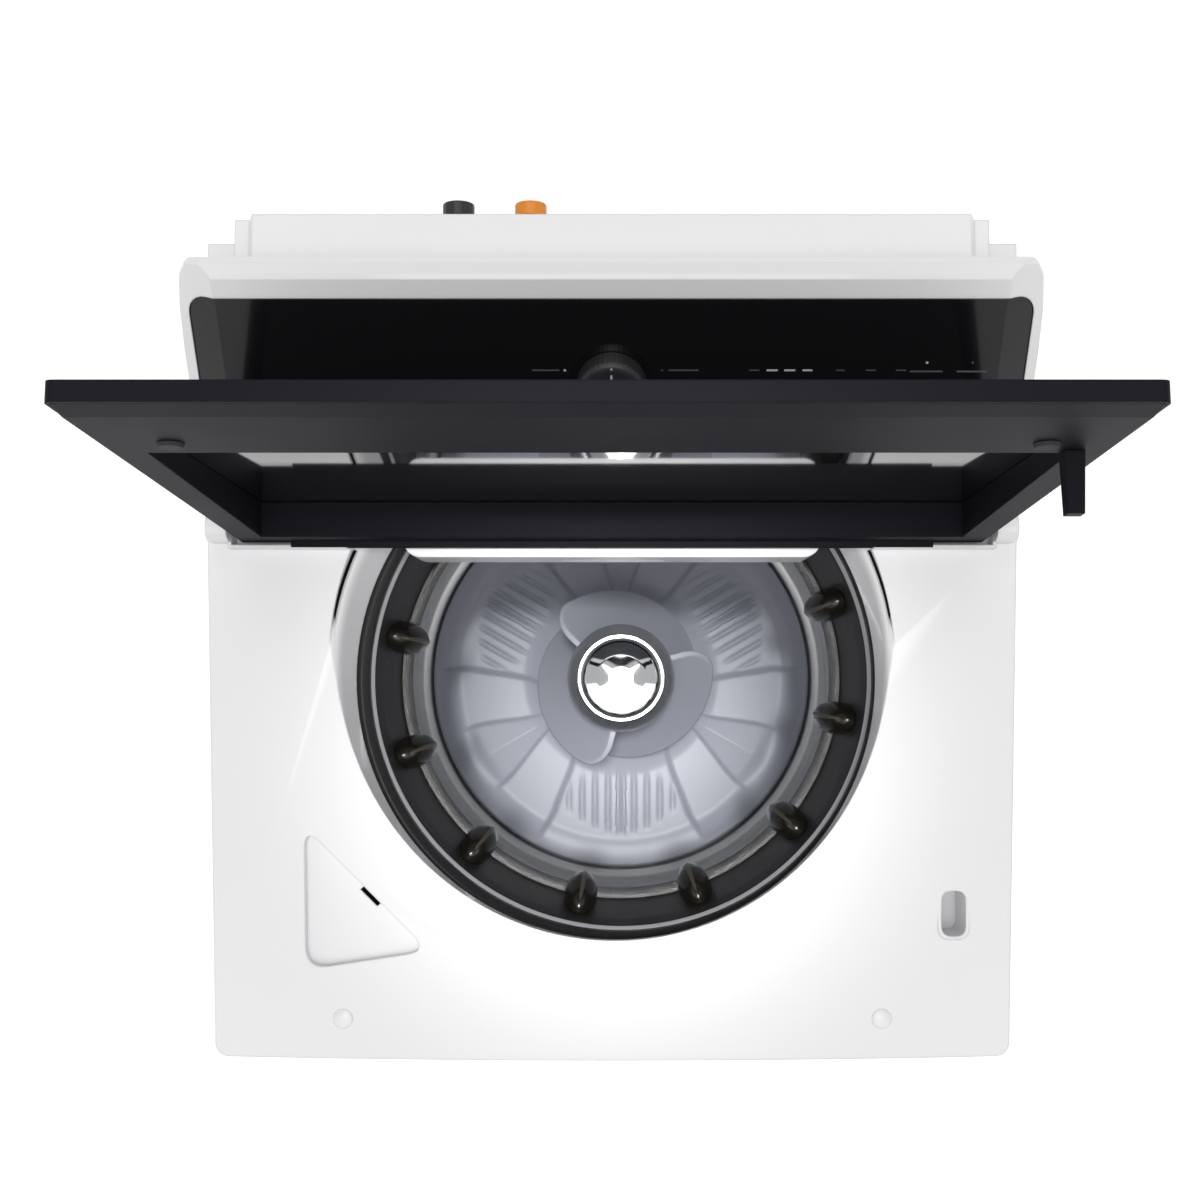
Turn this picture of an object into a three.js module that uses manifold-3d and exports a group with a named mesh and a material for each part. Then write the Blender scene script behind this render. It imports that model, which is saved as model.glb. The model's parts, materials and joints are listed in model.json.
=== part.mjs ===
// Top load washing machine with its lid standing open, as an assembly of separate pieces.
// Units are millimetres, +X is right, +Y is back, +Z is up, and the origin is on the floor
// under the middle of the whole machine.
import * as THREE from 'three';
import { mergeVertices } from 'three/addons/utils/BufferGeometryUtils.js';
import Module from 'manifold-3d';

const wasm = await Module();
wasm.setup();

// ---------------------------------------------------------------- driving dimensions
const GAP = 0.3; // running clearance between neighbouring pieces

// cabinet
const WIDTH = 686;
const FRONT_Y = -361;
const BACK_Y = 338;
const SHEET = 2;
const CABINET_TOP = 905;
const CORNER_R = 12;
const FRONT_BOW = 4; // how far the middle of the front stands proud of its corners
const BASE_Z = 22;
const BASE_H = 38;
const BASE_FLANGE = 64; // width of the base frame's channel
const COVER_W = 300; // pressed cover in the rear panel
const COVER_HIGH = CABINET_TOP - 215;
const COVER_LOW = COVER_HIGH - 220;
const LOUVRE_XS = [110, 190, 270];
const LOUVRE_ROWS = 6;
const GLAND = { x: 230, z: CABINET_TOP - 55, r: 9 };
const FOOT_R = 22;
const STUD_R = 6;

// deck, the sloping top cover
const DECK_Z0 = CABINET_TOP + 74.5; // height of the sloping plane at y = 0
const DECK_SLOPE = 0.109; // rise per millimetre towards the back
const DECK_WALL = 3;
const OPENING_R = 234;
const OPENING_Y = -20;
const THROAT_BOTTOM = CABINET_TOP + 33;
const THROAT_R = 227;
const DECK_PAD = { x: 232.5, y: -323.6, r: 8.6 };
const BLEACH_DEPTH = 8;
const BLEACH_SLOT = [[-217.6, -212.6], [-214.7, -209.8], [-200.4, -224.4], [-203.3, -227.2]];
const TROUGH_FRONT = 82;
const TROUGH_BACK = 131;
const TROUGH_Z = CABINET_TOP + 75;
const SHELF_Z = CABINET_TOP + 95; // level part that carries the console

// lid
const HINGE_Y = 96.4;
const HINGE_Z = TROUGH_Z + 25;
const LID_W = WIDTH - 56;
const LID_CORNER = 6;
const LID_LEAN = 4.5; // degrees past upright when open
const LID_LENGTH = 454; // hinge axis to free edge
const LID_TAIL = 15; // hinge axis to rear edge
const FRAME_FACE = -11.1; // underside of the frame, measured from the hinge axis
const FREE_EDGE_OUT = 4.1; // outer face at the free edge, measured the same way
const LID_WEDGE = 0.0441; // growth of thickness towards the hinge
const LID_WALL = 2.5;
const WINDOW_W = LID_W - 49;
const WINDOW_NEAR = 15.8;
const WINDOW_FAR = 335;
const GLASS_T = 4.5;
const GLASS_LAP = 9;
const HINGE_PIN_R = 5;
const HOOK_X = 290.5;
const HOOK_U = 338;
const HOOK_LENGTH = 40;
const BUMPER_X = LID_W / 2 - 46.5;
const BUMPER_U = 362;
const BUMPER_R = 8.5;
const BUMPER_H = 2.6;

// console
const PANEL_Y = 135;
const PANEL_Z = SHELF_Z + 32;
const PANEL_TILT = 34.7; // degrees from level
const PANEL_L = 154.5;
const CONSOLE_HALF = WIDTH / 2 - 2;
const PANEL_W = 2 * CONSOLE_HALF - 20;
const PANEL_FLAT_W = PANEL_W - 50;
const PANEL_DROP = 15; // how far the slanted ends of the panel fall
const PANEL_T = 4;
const PANEL_CORNER = 18;
const CONSOLE_TOP = SHELF_Z + 130;
const CONSOLE_BACK = 296;
const CONSOLE_WALL = 4;
const CONSOLE_CORNER = 28; // plan corners at the back of the console
const DIAL_Y = 82; // dial centre, up the slope from the panel's lower edge
const DIAL_R = 28;
const DIAL_H = 22;
const DIAL_WELL_R = DIAL_R + 5.4;
const BUTTON_R = 9;
const BUTTON_XS = { power: 232, start: 276 };
const HOUSING_TOP = SHELF_Z + 60;
const HOUSING_BACK = 346;
const HOUSING_W = 596;
const HOUSING_STEP_W = 620;
const VENT_XS = [-208, -85, -12.5, 60, 132.5, 204.5];
const VENT_HALF = 27;
const VALVE_XS = { cold: -126.6, hot: -67 };
const VALVE_Z = SHELF_Z + 36;
const NOZZLE_R = 10;
const CAP_R = 13.2;
const CAP_END = 361;

// hanging tub and what turns in it
const DRUM_X = 7.5;
const DRUM_Y = -30;
const BASKET_R = 270;
const TUB_R = BASKET_R + 30;
const TUB_WALL = 4;
const TUB_FLOOR = 190;
const TUB_TOP = CABINET_TOP - 9;
const COVER_TOP = TUB_TOP + 9;
const COVER_R = THROAT_R - 0.5;
const BASKET_WALL = 1.2;
const BASKET_FLOOR = 226; // inside the basket
const BASKET_TOP = TUB_TOP - 28;
const BASKET_SEAM = 290; // lower edge of the wall, which laps over the base
const BASKET_LAP = 20;
const RING_BOTTOM = BASKET_TOP - 73;
const RING_TOP = BASKET_TOP + 17;
const RING_R_LOW = BASKET_R - 65.4;
const RING_R_HIGH = BASKET_R - 47;
const SCOOPS = 12;
const SCOOP_TURN = 19.5; // degrees of the first scoop
const SCOOP_LEAN = 11.5; // degrees that a scoop leans outwards, as the ring's wall does
const PLATE_R = BASKET_R - 27;
const PLATE_RIM = 265;
const PLATE_HUB_TOP = 287;
const POST_TOP = 590;
const VANE_R = 106;
const VANES = 3;
const VANE_TWIST = 130; // degrees that a vane winds round the post
const CAP_TOP_R = 58.7;
const SHAFT_R = 12;
const TUBE_R = 20;
const BEARING_R = 34;
const ROTOR_R = 135;
const ROD_X = 292;
const ROD_Y = 290;
const ROD_R = 4;
const LUG_Z = 300;
const LUG_H = 24;
const GUSSET_Z = CABINET_TOP - 43;
const GUSSET_T = 4;
const ROD_FOOT_Z = 206;

// dispenser
const DISPENSER_W = 354;
const DISPENSER_FRONT = 72.5;
const DISPENSER_BACK = 245;
const DISPENSER_TOP = SHELF_Z - 13.7;
const DISPENSER_BOTTOM = SHELF_Z - 75;
const DISPENSER_PORT_Z = DISPENSER_BOTTOM + 25;
const DRAWER_W = 288;
const DRAWER_L = 150;
const DRAWER_WALL = 3;

// pump and drain
const PUMP_X = -162.5;
const PUMP_Y = 120;
const PUMP_R = 44;
const PUMP_TOP = 150;
const HOSE_R = 15;
const OUTLET_Z = CABINET_TOP - 145;

// ---------------------------------------------------------------- materials
const paint = (color, roughness, metalness) =>
  new THREE.MeshStandardMaterial({ color, roughness, metalness });
const WHITE = paint(0xf1f2f3, 0.35, 0);
const WHITE_STEEL = paint(0xeceded, 0.4, 0.1);
const NAVY = paint(0x23232a, 0.4, 0);
const GLOSS_BLACK = paint(0x0a0a0c, 0.08, 0);
const DARK_GLASS = paint(0x111216, 0.05, 0);
const DARK_GREY = paint(0x2d2b2e, 0.35, 0);
const SCOOP_BROWN = paint(0x1c1a16, 0.3, 0);
const STEEL = paint(0xd5d5d5, 0.2, 1);
const PLATE_GREY = paint(0x8f939e, 0.4, 0);
const CHROME = paint(0xdadde0, 0.05, 1);
const RUBBER = paint(0x18181a, 0.8, 0);
const ALUMINIUM = paint(0xb0b3b6, 0.45, 0.9);
const ORANGE = paint(0xd9811c, 0.45, 0);
const TUB_PLASTIC = paint(0xbfc4c8, 0.5, 0);
const ZINC = paint(0xa8abad, 0.4, 0.9);
const COPPER = paint(0x9c5a34, 0.4, 0.8);
const BOARD_GREEN = paint(0x2c5a3c, 0.6, 0);

// ---------------------------------------------------------------- helpers
const rad = THREE.MathUtils.degToRad;
const ROUND = 32; // sides of a large round piece

/** A three.js geometry as a closed manifold-3d solid. */
function solid(geometry) {
  const bare = geometry.index ? geometry.toNonIndexed() : geometry.clone();
  bare.deleteAttribute('normal');
  bare.deleteAttribute('uv');
  const merged = mergeVertices(bare, 1e-4);
  const index = merged.index.array;
  const kept = [];
  for (let i = 0; i < index.length; i += 3) {
    const [a, b, c] = [index[i], index[i + 1], index[i + 2]];
    if (a !== b && b !== c && c !== a) kept.push(a, b, c);
  }
  const mesh = new wasm.Mesh({
    numProp: 3,
    vertProperties: new Float32Array(merged.attributes.position.array),
    triVerts: new Uint32Array(kept),
  });
  return new wasm.Manifold(mesh);
}

/** A manifold-3d solid as a three.js geometry. */
function geometryOf(body) {
  const mesh = body.getMesh();
  const geometry = new THREE.BufferGeometry();
  geometry.setAttribute('position', new THREE.BufferAttribute(mesh.vertProperties, 3));
  geometry.setIndex(new THREE.BufferAttribute(mesh.triVerts, 1));
  geometry.computeVertexNormals();
  return geometry;
}

const join = (first, ...rest) => rest.reduce((all, one) => all.add(one), first);
const cut = (first, ...rest) => rest.reduce((all, one) => all.subtract(one), first);

/** Adds a body to a group as one named mesh. */
function piece(group, name, body, material) {
  const mesh = new THREE.Mesh(geometryOf(body), material);
  mesh.name = name;
  group.add(mesh);
  return mesh;
}

/** A box between two corners. */
function box(x0, x1, y0, y1, z0, z1) {
  const geometry = new THREE.BoxGeometry(x1 - x0, y1 - y0, z1 - z0);
  return solid(geometry.translate((x0 + x1) / 2, (y0 + y1) / 2, (z0 + z1) / 2));
}

/** An upright cylinder from z0 to z1. */
function rod(radius, z0, z1, x = 0, y = 0, segments = 16) {
  const geometry = new THREE.CylinderGeometry(radius, radius, z1 - z0, segments);
  return solid(geometry.rotateX(Math.PI / 2).translate(x, y, (z0 + z1) / 2));
}

/** A cylinder along Y from y0 to y1. */
function rodY(radius, y0, y1, x, z, segments = 16) {
  const geometry = new THREE.CylinderGeometry(radius, radius, y1 - y0, segments);
  return solid(geometry.translate(x, (y0 + y1) / 2, z));
}

/** A cylinder along X from x0 to x1. */
function rodX(radius, x0, x1, y, z, segments = 12) {
  const geometry = new THREE.CylinderGeometry(radius, radius, x1 - x0, segments);
  return solid(geometry.rotateZ(Math.PI / 2).translate((x0 + x1) / 2, y, z));
}

/** A profile of [radius, height] pairs turned round the Z axis. A ring's profile closes on itself. */
function turned(profile, segments = ROUND) {
  const points = profile.map(([r, z]) => new THREE.Vector2(r, z));
  if (THREE.ShapeUtils.area(points) < 0) points.reverse();
  if (points[0].x > 0) points.push(points[0].clone());
  return solid(new THREE.LatheGeometry(points, segments).rotateX(Math.PI / 2));
}

/** A body turned about the Z axis by an angle in degrees. */
const spun = (body, degrees) => solid(geometryOf(body).rotateZ(rad(degrees)));

const shapeOf = (points) => new THREE.Shape(points.map(([a, b]) => new THREE.Vector2(a, b)));

/** A plan outline raised from z0 to z1. */
function raised(shape, z0, z1, curveSegments = 3) {
  const options = { depth: z1 - z0, bevelEnabled: false, curveSegments };
  return solid(new THREE.ExtrudeGeometry(shape, options).translate(0, 0, z0));
}

/** A side outline in (y, z) drawn out along X between x0 and x1. */
function alongX(points, x0, x1) {
  const options = { depth: x1 - x0, bevelEnabled: false };
  const geometry = new THREE.ExtrudeGeometry(shapeOf(points), options);
  const turn = new THREE.Matrix4().makeBasis(
    new THREE.Vector3(0, 1, 0), new THREE.Vector3(0, 0, 1), new THREE.Vector3(1, 0, 0));
  return solid(geometry.applyMatrix4(turn).translate(x0, 0, 0));
}

/** A front outline in (x, z) drawn out along Y between y0 and y1. */
function alongY(points, y0, y1) {
  const options = { depth: y1 - y0, bevelEnabled: false };
  const geometry = new THREE.ExtrudeGeometry(shapeOf(points), options);
  const turn = new THREE.Matrix4().makeBasis(
    new THREE.Vector3(1, 0, 0), new THREE.Vector3(0, 0, 1), new THREE.Vector3(0, -1, 0));
  return solid(geometry.applyMatrix4(turn).translate(0, y1, 0));
}

/** A round tube along a smooth curve through points. */
function hose(points, radius, bore, steps) {
  const path = new THREE.CatmullRomCurve3(points.map((p) => new THREE.Vector3(...p)));
  const ring = new THREE.Shape().absarc(0, 0, radius, 0, 2 * Math.PI);
  if (bore > 0) ring.holes.push(new THREE.Path().absarc(0, 0, bore, 0, 2 * Math.PI, true));
  const options = { steps, extrudePath: path, curveSegments: 4 };
  return solid(new THREE.ExtrudeGeometry(ring, options));
}

/** Plan outline of the machine: rounded corners and a gently bowed front. */
function planOutline(inset, backY) {
  const half = WIDTH / 2 - inset;
  const r = Math.max(CORNER_R - inset, 1);
  const corner = FRONT_Y + FRONT_BOW + inset;
  const shape = new THREE.Shape();
  shape.moveTo(-half, backY);
  shape.lineTo(-half, corner + r);
  shape.absarc(-half + r, corner + r, r, Math.PI, 1.5 * Math.PI);
  shape.quadraticCurveTo(0, FRONT_Y - FRONT_BOW + inset, half - r, corner);
  shape.absarc(half - r, corner + r, r, 1.5 * Math.PI, 2 * Math.PI);
  shape.lineTo(half, backY);
  return shape;
}

const deckZ = (y) => DECK_Z0 + DECK_SLOPE * y;

// ---------------------------------------------------------------- cabinet
const inDrum = (x, y) => [DRUM_X + x, DRUM_Y + y];
const rodPlaces = {
  front_left: inDrum(-ROD_X, -ROD_Y),
  front_right: inDrum(ROD_X, -ROD_Y),
  rear_left: inDrum(-ROD_X, ROD_Y),
  rear_right: inDrum(ROD_X, ROD_Y),
};
const footPlaces = {
  front_left: [-WIDTH / 2 + 45, FRONT_Y + 50],
  front_right: [WIDTH / 2 - 45, FRONT_Y + 50],
  rear_left: [-WIDTH / 2 + 45, BACK_Y - 45],
  rear_right: [WIDTH / 2 - 45, BACK_Y - 45],
};

/** One corner plate that a suspension rod hangs from. */
function gusset([x, y]) {
  const side = Math.sign(x);
  const wall = WIDTH / 2 - SHEET / 2;
  const tip = x - side * 16;
  const points = [[side * wall, y - 38], [side * wall, y + 38], [tip, y + 16], [tip, y - 16]];
  if (side < 0) points.reverse();
  const plate = raised(shapeOf(points), GUSSET_Z, GUSSET_Z + GUSSET_T);
  return cut(plate, rod(ROD_R + 3, GUSSET_Z - 1, GUSSET_Z + 9, x, y, 16));
}

function buildCabinet(group) {
  const shellBack = BACK_Y - SHEET - GAP - 1;
  const top = CABINET_TOP - GAP;
  const outside = raised(planOutline(0, shellBack), BASE_Z + BASE_H, top);
  const inside = raised(planOutline(SHEET, shellBack + 5), BASE_Z + BASE_H - 5, top + 5);
  const flange = 14;
  const lips = [-1, 1].map((side) => box(
    ...[side * (WIDTH / 2 - 1), side * (WIDTH / 2 - flange)].sort((a, b) => a - b),
    shellBack - SHEET, shellBack, BASE_Z + BASE_H, top));
  const gussets = Object.values(rodPlaces).map(gusset);
  piece(group, 'cabinet', join(cut(outside, inside), ...lips, ...gussets), WHITE_STEEL);

  const panel = box(-WIDTH / 2 + 3, WIDTH / 2 - 3, BACK_Y - SHEET, BACK_Y, BASE_Z + BASE_H + GAP, top);
  const slots = [];
  for (let row = 0; row < LOUVRE_ROWS; row += 1) {
    for (const x of LOUVRE_XS) {
      slots.push(box(x - 30, x + 30, BACK_Y - 9, BACK_Y + 9, 300 + row * 22, 307 + row * 22));
    }
  }
  const outletHole = rodY(HOSE_R + 4, BACK_Y - 9, BACK_Y + 9, PUMP_X, OUTLET_Z);
  const glandHole = rodY(GLAND.r + GAP, BACK_Y - 9, BACK_Y + 9, GLAND.x, GLAND.z);
  const coverBox = (wall, y0, y1) => box(
    -COVER_W / 2 + wall, COVER_W / 2 - wall, y0, y1, COVER_LOW + wall, COVER_HIGH - wall);
  const cover = coverBox(0, BACK_Y - 1, BACK_Y + 4);
  const behindCover = coverBox(3, BACK_Y - SHEET - 1, BACK_Y + 2);
  piece(group, 'rear_panel', cut(join(panel, cover), behindCover, ...slots, outletHole, glandHole), ZINC);

  const frameBack = BACK_Y - 6;
  const baseTop = BASE_Z + BASE_H;
  const frame = cut(
    raised(planOutline(6, frameBack), BASE_Z, baseTop - GAP),
    raised(planOutline(6 + BASE_FLANGE, frameBack - BASE_FLANGE), BASE_Z - 5, baseTop + 5));
  const hollow = cut(
    raised(planOutline(9, frameBack - 3), BASE_Z - 1, baseTop - 4),
    raised(planOutline(3 + BASE_FLANGE, frameBack - BASE_FLANGE + 3), BASE_Z - 5, baseTop + 5));
  const pumpPlate = box(
    -WIDTH / 2 + BASE_FLANGE + 4, PUMP_X + 60, PUMP_Y - 60, frameBack - BASE_FLANGE + 4,
    baseTop - 4, baseTop - GAP);
  const studs = Object.values(footPlaces);
  const bosses = studs.map(([x, y]) => rod(STUD_R + 6, BASE_Z, baseTop - 1, x, y, 16));
  const holes = studs.map(([x, y]) => rod(STUD_R + GAP, BASE_Z - 1, baseTop + 1, x, y, 16));
  piece(group, 'base_frame', cut(join(cut(frame, hollow), pumpPlate, ...bosses), ...holes), ZINC);

  const foot = turned([
    [0, 0], [FOOT_R - 2, 0], [FOOT_R, 2], [FOOT_R, 9], [FOOT_R - 6, 13],
    [10, 13], [10, 20], [STUD_R, 20], [STUD_R, BASE_Z + BASE_H + 14], [0, BASE_Z + BASE_H + 14],
  ], 12);
  for (const [place, [x, y]] of Object.entries(footPlaces)) {
    piece(group, `foot_${place}`, foot, RUBBER).position.set(x, y, 0);
  }
}

// ---------------------------------------------------------------- deck
/** Side outline of the deck, offset inwards by a wall. */
function deckOutline(wall) {
  const front = FRONT_Y - FRONT_BOW - 1 + wall;
  const back = BACK_Y - wall;
  const bottom = CABINET_TOP - (wall ? 10 : 0);
  return [
    [front, bottom],
    [front, deckZ(FRONT_Y) - 9 - wall],
    [front + 4, deckZ(FRONT_Y) - 3 - wall],
    [front + 12, deckZ(FRONT_Y + 12) - wall],
    [TROUGH_BACK, deckZ(TROUGH_BACK) - wall],
    [TROUGH_BACK + 2, SHELF_Z - wall],
    [back, SHELF_Z - wall],
    [back, bottom],
  ];
}

/** A polygon with rounded corners, moved inwards by a margin. */
function roundedPolygon(points, r, margin) {
  const shape = new THREE.Shape();
  points.forEach(([x, y], i) => {
    const [px, py] = points[(i + points.length - 1) % points.length];
    const [nx, ny] = points[(i + 1) % points.length];
    const a = new THREE.Vector2(px - x, py - y).normalize();
    const b = new THREE.Vector2(nx - x, ny - y).normalize();
    const corner = a.clone().add(b).multiplyScalar(margin / Math.abs(a.cross(b)));
    corner.add(new THREE.Vector2(x, y));
    const start = corner.clone().addScaledVector(a, r);
    const end = corner.clone().addScaledVector(b, r);
    if (i === 0) shape.moveTo(start.x, start.y);
    else shape.lineTo(start.x, start.y);
    shape.quadraticCurveTo(corner.x, corner.y, end.x, end.y);
  });
  return shape;
}

/** The layer between two heights above or below the sloping deck plane. */
function deckLayer(low, high) {
  const y0 = FRONT_Y - 20;
  const y1 = TROUGH_BACK;
  return alongX([
    [y0, deckZ(y0) + low], [y1, deckZ(y1) + low], [y1, deckZ(y1) + high], [y0, deckZ(y0) + high],
  ], -WIDTH / 2, WIDTH / 2);
}

/** The funnel from the deck opening down to the tub, grown by a wall. */
function throat(wall, bottom, backY) {
  const top = deckZ(TROUGH_BACK) + 10;
  const growth = (z) => (z - THROAT_BOTTOM) / (deckZ(OPENING_Y) - THROAT_BOTTOM);
  const ends = [bottom, top].map((z) => THROAT_R + (OPENING_R - THROAT_R) * growth(z) + wall);
  const geometry = new THREE.CylinderGeometry(ends[1], ends[0], top - bottom, ROUND);
  geometry.rotateX(Math.PI / 2).translate(0, 0, (top + bottom) / 2);
  const place = geometry.attributes.position;
  for (let i = 0; i < place.count; i += 1) {
    const k = growth(place.getZ(i));
    place.setX(i, place.getX(i) + DRUM_X * 0.4 * (1 - k));
    place.setY(i, place.getY(i) + DRUM_Y + (OPENING_Y - DRUM_Y) * k);
  }
  return solid(geometry).intersect(box(-WIDTH / 2, WIDTH / 2, FRONT_Y, backY, bottom - 1, top + 1));
}

const bleachCorners = [[-264, -157], [-264, -281], [-158, -265]];
const pocket = { x: HOOK_X + 3, y: HINGE_Y - HOOK_U + 9.3, w: 21, l: 39, floor: CABINET_TOP + 7 };

/** The upright slot-shaped pocket that the lid hook drops into. */
function pocketBody(wall, bottom, top) {
  const half = pocket.w / 2 + wall;
  const reach = pocket.l / 2 + wall;
  const outline = [
    [pocket.x - half, pocket.y - reach], [pocket.x + half, pocket.y - reach],
    [pocket.x + half, pocket.y + reach], [pocket.x - half, pocket.y + reach],
  ];
  return raised(roundedPolygon(outline, half * 0.8, 0), bottom, top);
}

function buildDeck(group) {
  const outer = alongX(deckOutline(0), -WIDTH / 2, WIDTH / 2)
    .intersect(raised(planOutline(0, BACK_Y), CABINET_TOP - 20, SHELF_Z + 20));
  const inner = alongX(deckOutline(DECK_WALL), -WIDTH / 2, WIDTH / 2)
    .intersect(raised(planOutline(DECK_WALL, BACK_Y - DECK_WALL), CABINET_TOP - 20, SHELF_Z + 20));
  const throatWall = throat(4, THROAT_BOTTOM, TROUGH_FRONT + 7).intersect(outer);
  const troughHalf = LID_W / 2 + 5.5;
  const troughTray = box(
    -troughHalf - DECK_WALL, troughHalf + DECK_WALL, TROUGH_FRONT - DECK_WALL, TROUGH_BACK + DECK_WALL,
    TROUGH_Z - DECK_WALL, SHELF_Z).intersect(outer);
  const bleachTray = raised(roundedPolygon(bleachCorners, 22, -4), CABINET_TOP - 5, SHELF_Z)
    .intersect(deckLayer(-BLEACH_DEPTH - DECK_WALL, -1));
  const pocketWall = pocketBody(3, pocket.floor - 3, deckZ(pocket.y) - 1);
  const ears = [-1, 1].flatMap((side) => {
    const [x0, x1] = [side * (troughHalf + 0.5), side * (troughHalf + 18)].sort((a, b) => a - b);
    return [box(x0, x1, HINGE_Y - 12, HINGE_Y + 12, TROUGH_Z, HINGE_Z), rodX(12, x0, x1, HINGE_Y, HINGE_Z)];
  });
  const pads = [-1, 1].map((side) => {
    const post = rod(DECK_PAD.r, DECK_Z0 - 50, DECK_Z0 - 20, side * DECK_PAD.x, DECK_PAD.y, 20);
    return post.intersect(deckLayer(-1, 0.6));
  });
  const body = join(cut(outer, inner), throatWall, troughTray, bleachTray, pocketWall, ...ears, ...pads);
  const half = DISPENSER_W / 2 + GAP;
  piece(group, 'deck', cut(
    body,
    throat(0, THROAT_BOTTOM - 5, TROUGH_FRONT + 3),
    box(-troughHalf, troughHalf, TROUGH_FRONT, TROUGH_BACK, TROUGH_Z, SHELF_Z + 40),
    box(-half, half, DISPENSER_FRONT - 20, DISPENSER_BACK + GAP, CABINET_TOP - 5, SHELF_Z + 5),
    raised(roundedPolygon(bleachCorners, 20, 0), CABINET_TOP - 5, SHELF_Z + 5)
      .intersect(deckLayer(-BLEACH_DEPTH, 40)),
    raised(shapeOf(BLEACH_SLOT), CABINET_TOP + 25, deckZ(BLEACH_SLOT[0][1]) - BLEACH_DEPTH + 1),
    pocketBody(0, pocket.floor, SHELF_Z),
    box(288, 299, pocket.y + pocket.l / 2 - 2, pocket.y + pocket.l / 2 + 5,
      pocket.floor + 12, pocket.floor + 24),
    rodX(HINGE_PIN_R + GAP, -WIDTH / 2 + 4, WIDTH / 2 - 4, HINGE_Y, HINGE_Z),
    rod(HOSE_R + 2, SHELF_Z - 10, SHELF_Z + 5, -97, 318, 20),
    box(120, 240, 262, 312, SHELF_Z - 10, SHELF_Z + 5),
  ), WHITE);

  const lockBack = pocket.y + pocket.l / 2;
  piece(group, 'lid_lock', join(
    box(284, 326, lockBack + 4, lockBack + 46, pocket.floor + 4, pocket.floor + 32),
    box(289, 298, lockBack + 0.4, lockBack + 5, pocket.floor + 13, pocket.floor + 23),
    box(296, 314, lockBack + 46, lockBack + 54, pocket.floor + 10, pocket.floor + 26),
  ), DARK_GREY);
}

// ---------------------------------------------------------------- console
/** Side outline of the console housing, offset inwards by a wall. */
function consoleOutline(wall) {
  const tilt = rad(PANEL_TILT);
  const topY = PANEL_Y + PANEL_L * Math.cos(tilt);
  const topZ = PANEL_Z + PANEL_L * Math.sin(tilt);
  return [
    [PANEL_Y - 2 + wall, SHELF_Z + (wall ? -5 : GAP)],
    [PANEL_Y - 2 + wall, PANEL_Z - 5],
    [PANEL_Y + 1 + wall, PANEL_Z - wall],
    [topY + 4, topZ + 2.8 - wall * 1.2],
    [topY + 13, CONSOLE_TOP - 1 - wall],
    [topY + 17, CONSOLE_TOP - wall],
    [CONSOLE_BACK - 8 - wall / 2, CONSOLE_TOP - wall],
    [CONSOLE_BACK - 2 - wall, CONSOLE_TOP - 6 - wall / 2],
    [CONSOLE_BACK - wall, CONSOLE_TOP - 20],
    [CONSOLE_BACK - wall, SHELF_Z + (wall ? -5 : GAP)],
  ];
}

/** Front outline of the console housing: its ends lean inwards towards the top. */
function consoleFront(wall) {
  const right = [
    [CONSOLE_HALF, SHELF_Z - 5], [CONSOLE_HALF, CONSOLE_TOP - 55], [CONSOLE_HALF - 1.5, CONSOLE_TOP - 34],
    [CONSOLE_HALF - 5, CONSOLE_TOP - 18], [CONSOLE_HALF - 12, CONSOLE_TOP - 7],
    [CONSOLE_HALF - 24, CONSOLE_TOP],
  ];
  const moved = right.map(([x, z]) => [x - wall, z === CONSOLE_TOP ? z - wall : z]);
  return [...moved, ...moved.map(([x, z]) => [-x, z]).reverse()];
}

/** An upright block over the console's plan, with its two back corners rounded. */
function consolePlan(wall) {
  const half = CONSOLE_HALF - wall;
  const back = CONSOLE_BACK - wall;
  const r = CONSOLE_CORNER - wall;
  const shape = new THREE.Shape();
  shape.moveTo(-half, PANEL_Y - 20);
  shape.lineTo(half, PANEL_Y - 20);
  shape.lineTo(half, back - r);
  shape.absarc(half - r, back - r, r, 0, Math.PI / 2);
  shape.absarc(-half + r, back - r, r, Math.PI / 2, Math.PI);
  return raised(shape, SHELF_Z - 10, CONSOLE_TOP + 10, 6);
}

/** Cross-section of the black panel: flat, with a slanted facet at each end. */
function panelSection(grow, high, low) {
  const flat = PANEL_FLAT_W / 2;
  const end = PANEL_W / 2 + grow;
  const drop = -PANEL_DROP * (end - flat) / (PANEL_W / 2 - flat);
  return shapeOf([
    [-flat, high], [-end, drop + high], [-end, drop - low], [-flat, -low],
    [flat, -low], [end, drop - low], [end, drop + high], [flat, high],
  ]);
}

/** The panel section drawn out up the slope between two distances, in the panel's own frame. */
function panelBody(grow, high, low, y0, y1) {
  const options = { depth: y1 - y0, bevelEnabled: false };
  const geometry = new THREE.ExtrudeGeometry(panelSection(grow, high, low), options);
  const turn = new THREE.Matrix4().makeBasis(
    new THREE.Vector3(1, 0, 0), new THREE.Vector3(0, 0, 1), new THREE.Vector3(0, -1, 0));
  return solid(geometry.applyMatrix4(turn).translate(0, y1, 0));
}

/** An upright block over the panel's plan, grown by a margin, with its two upper corners rounded. */
function panelPlan(grow) {
  const half = PANEL_W / 2 + grow;
  const top = PANEL_L + grow;
  const r = PANEL_CORNER + grow;
  const shape = new THREE.Shape();
  shape.moveTo(-half, -grow);
  shape.lineTo(half, -grow);
  shape.lineTo(half, top - r);
  shape.absarc(half - r, top - r, r, 0, Math.PI / 2);
  shape.absarc(-half + r, top - r, r, Math.PI / 2, Math.PI);
  return raised(shape, -60, 30);
}

/** A body made in the panel's own frame, put where the panel is. */
function onPanel(body) {
  return solid(geometryOf(body).rotateX(rad(PANEL_TILT)).translate(0, PANEL_Y, PANEL_Z));
}

const buttonPlaces = Object.entries(BUTTON_XS).map(([name, x]) => ({ name, x, y: PANEL_L / 2 - 12 }));

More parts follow.
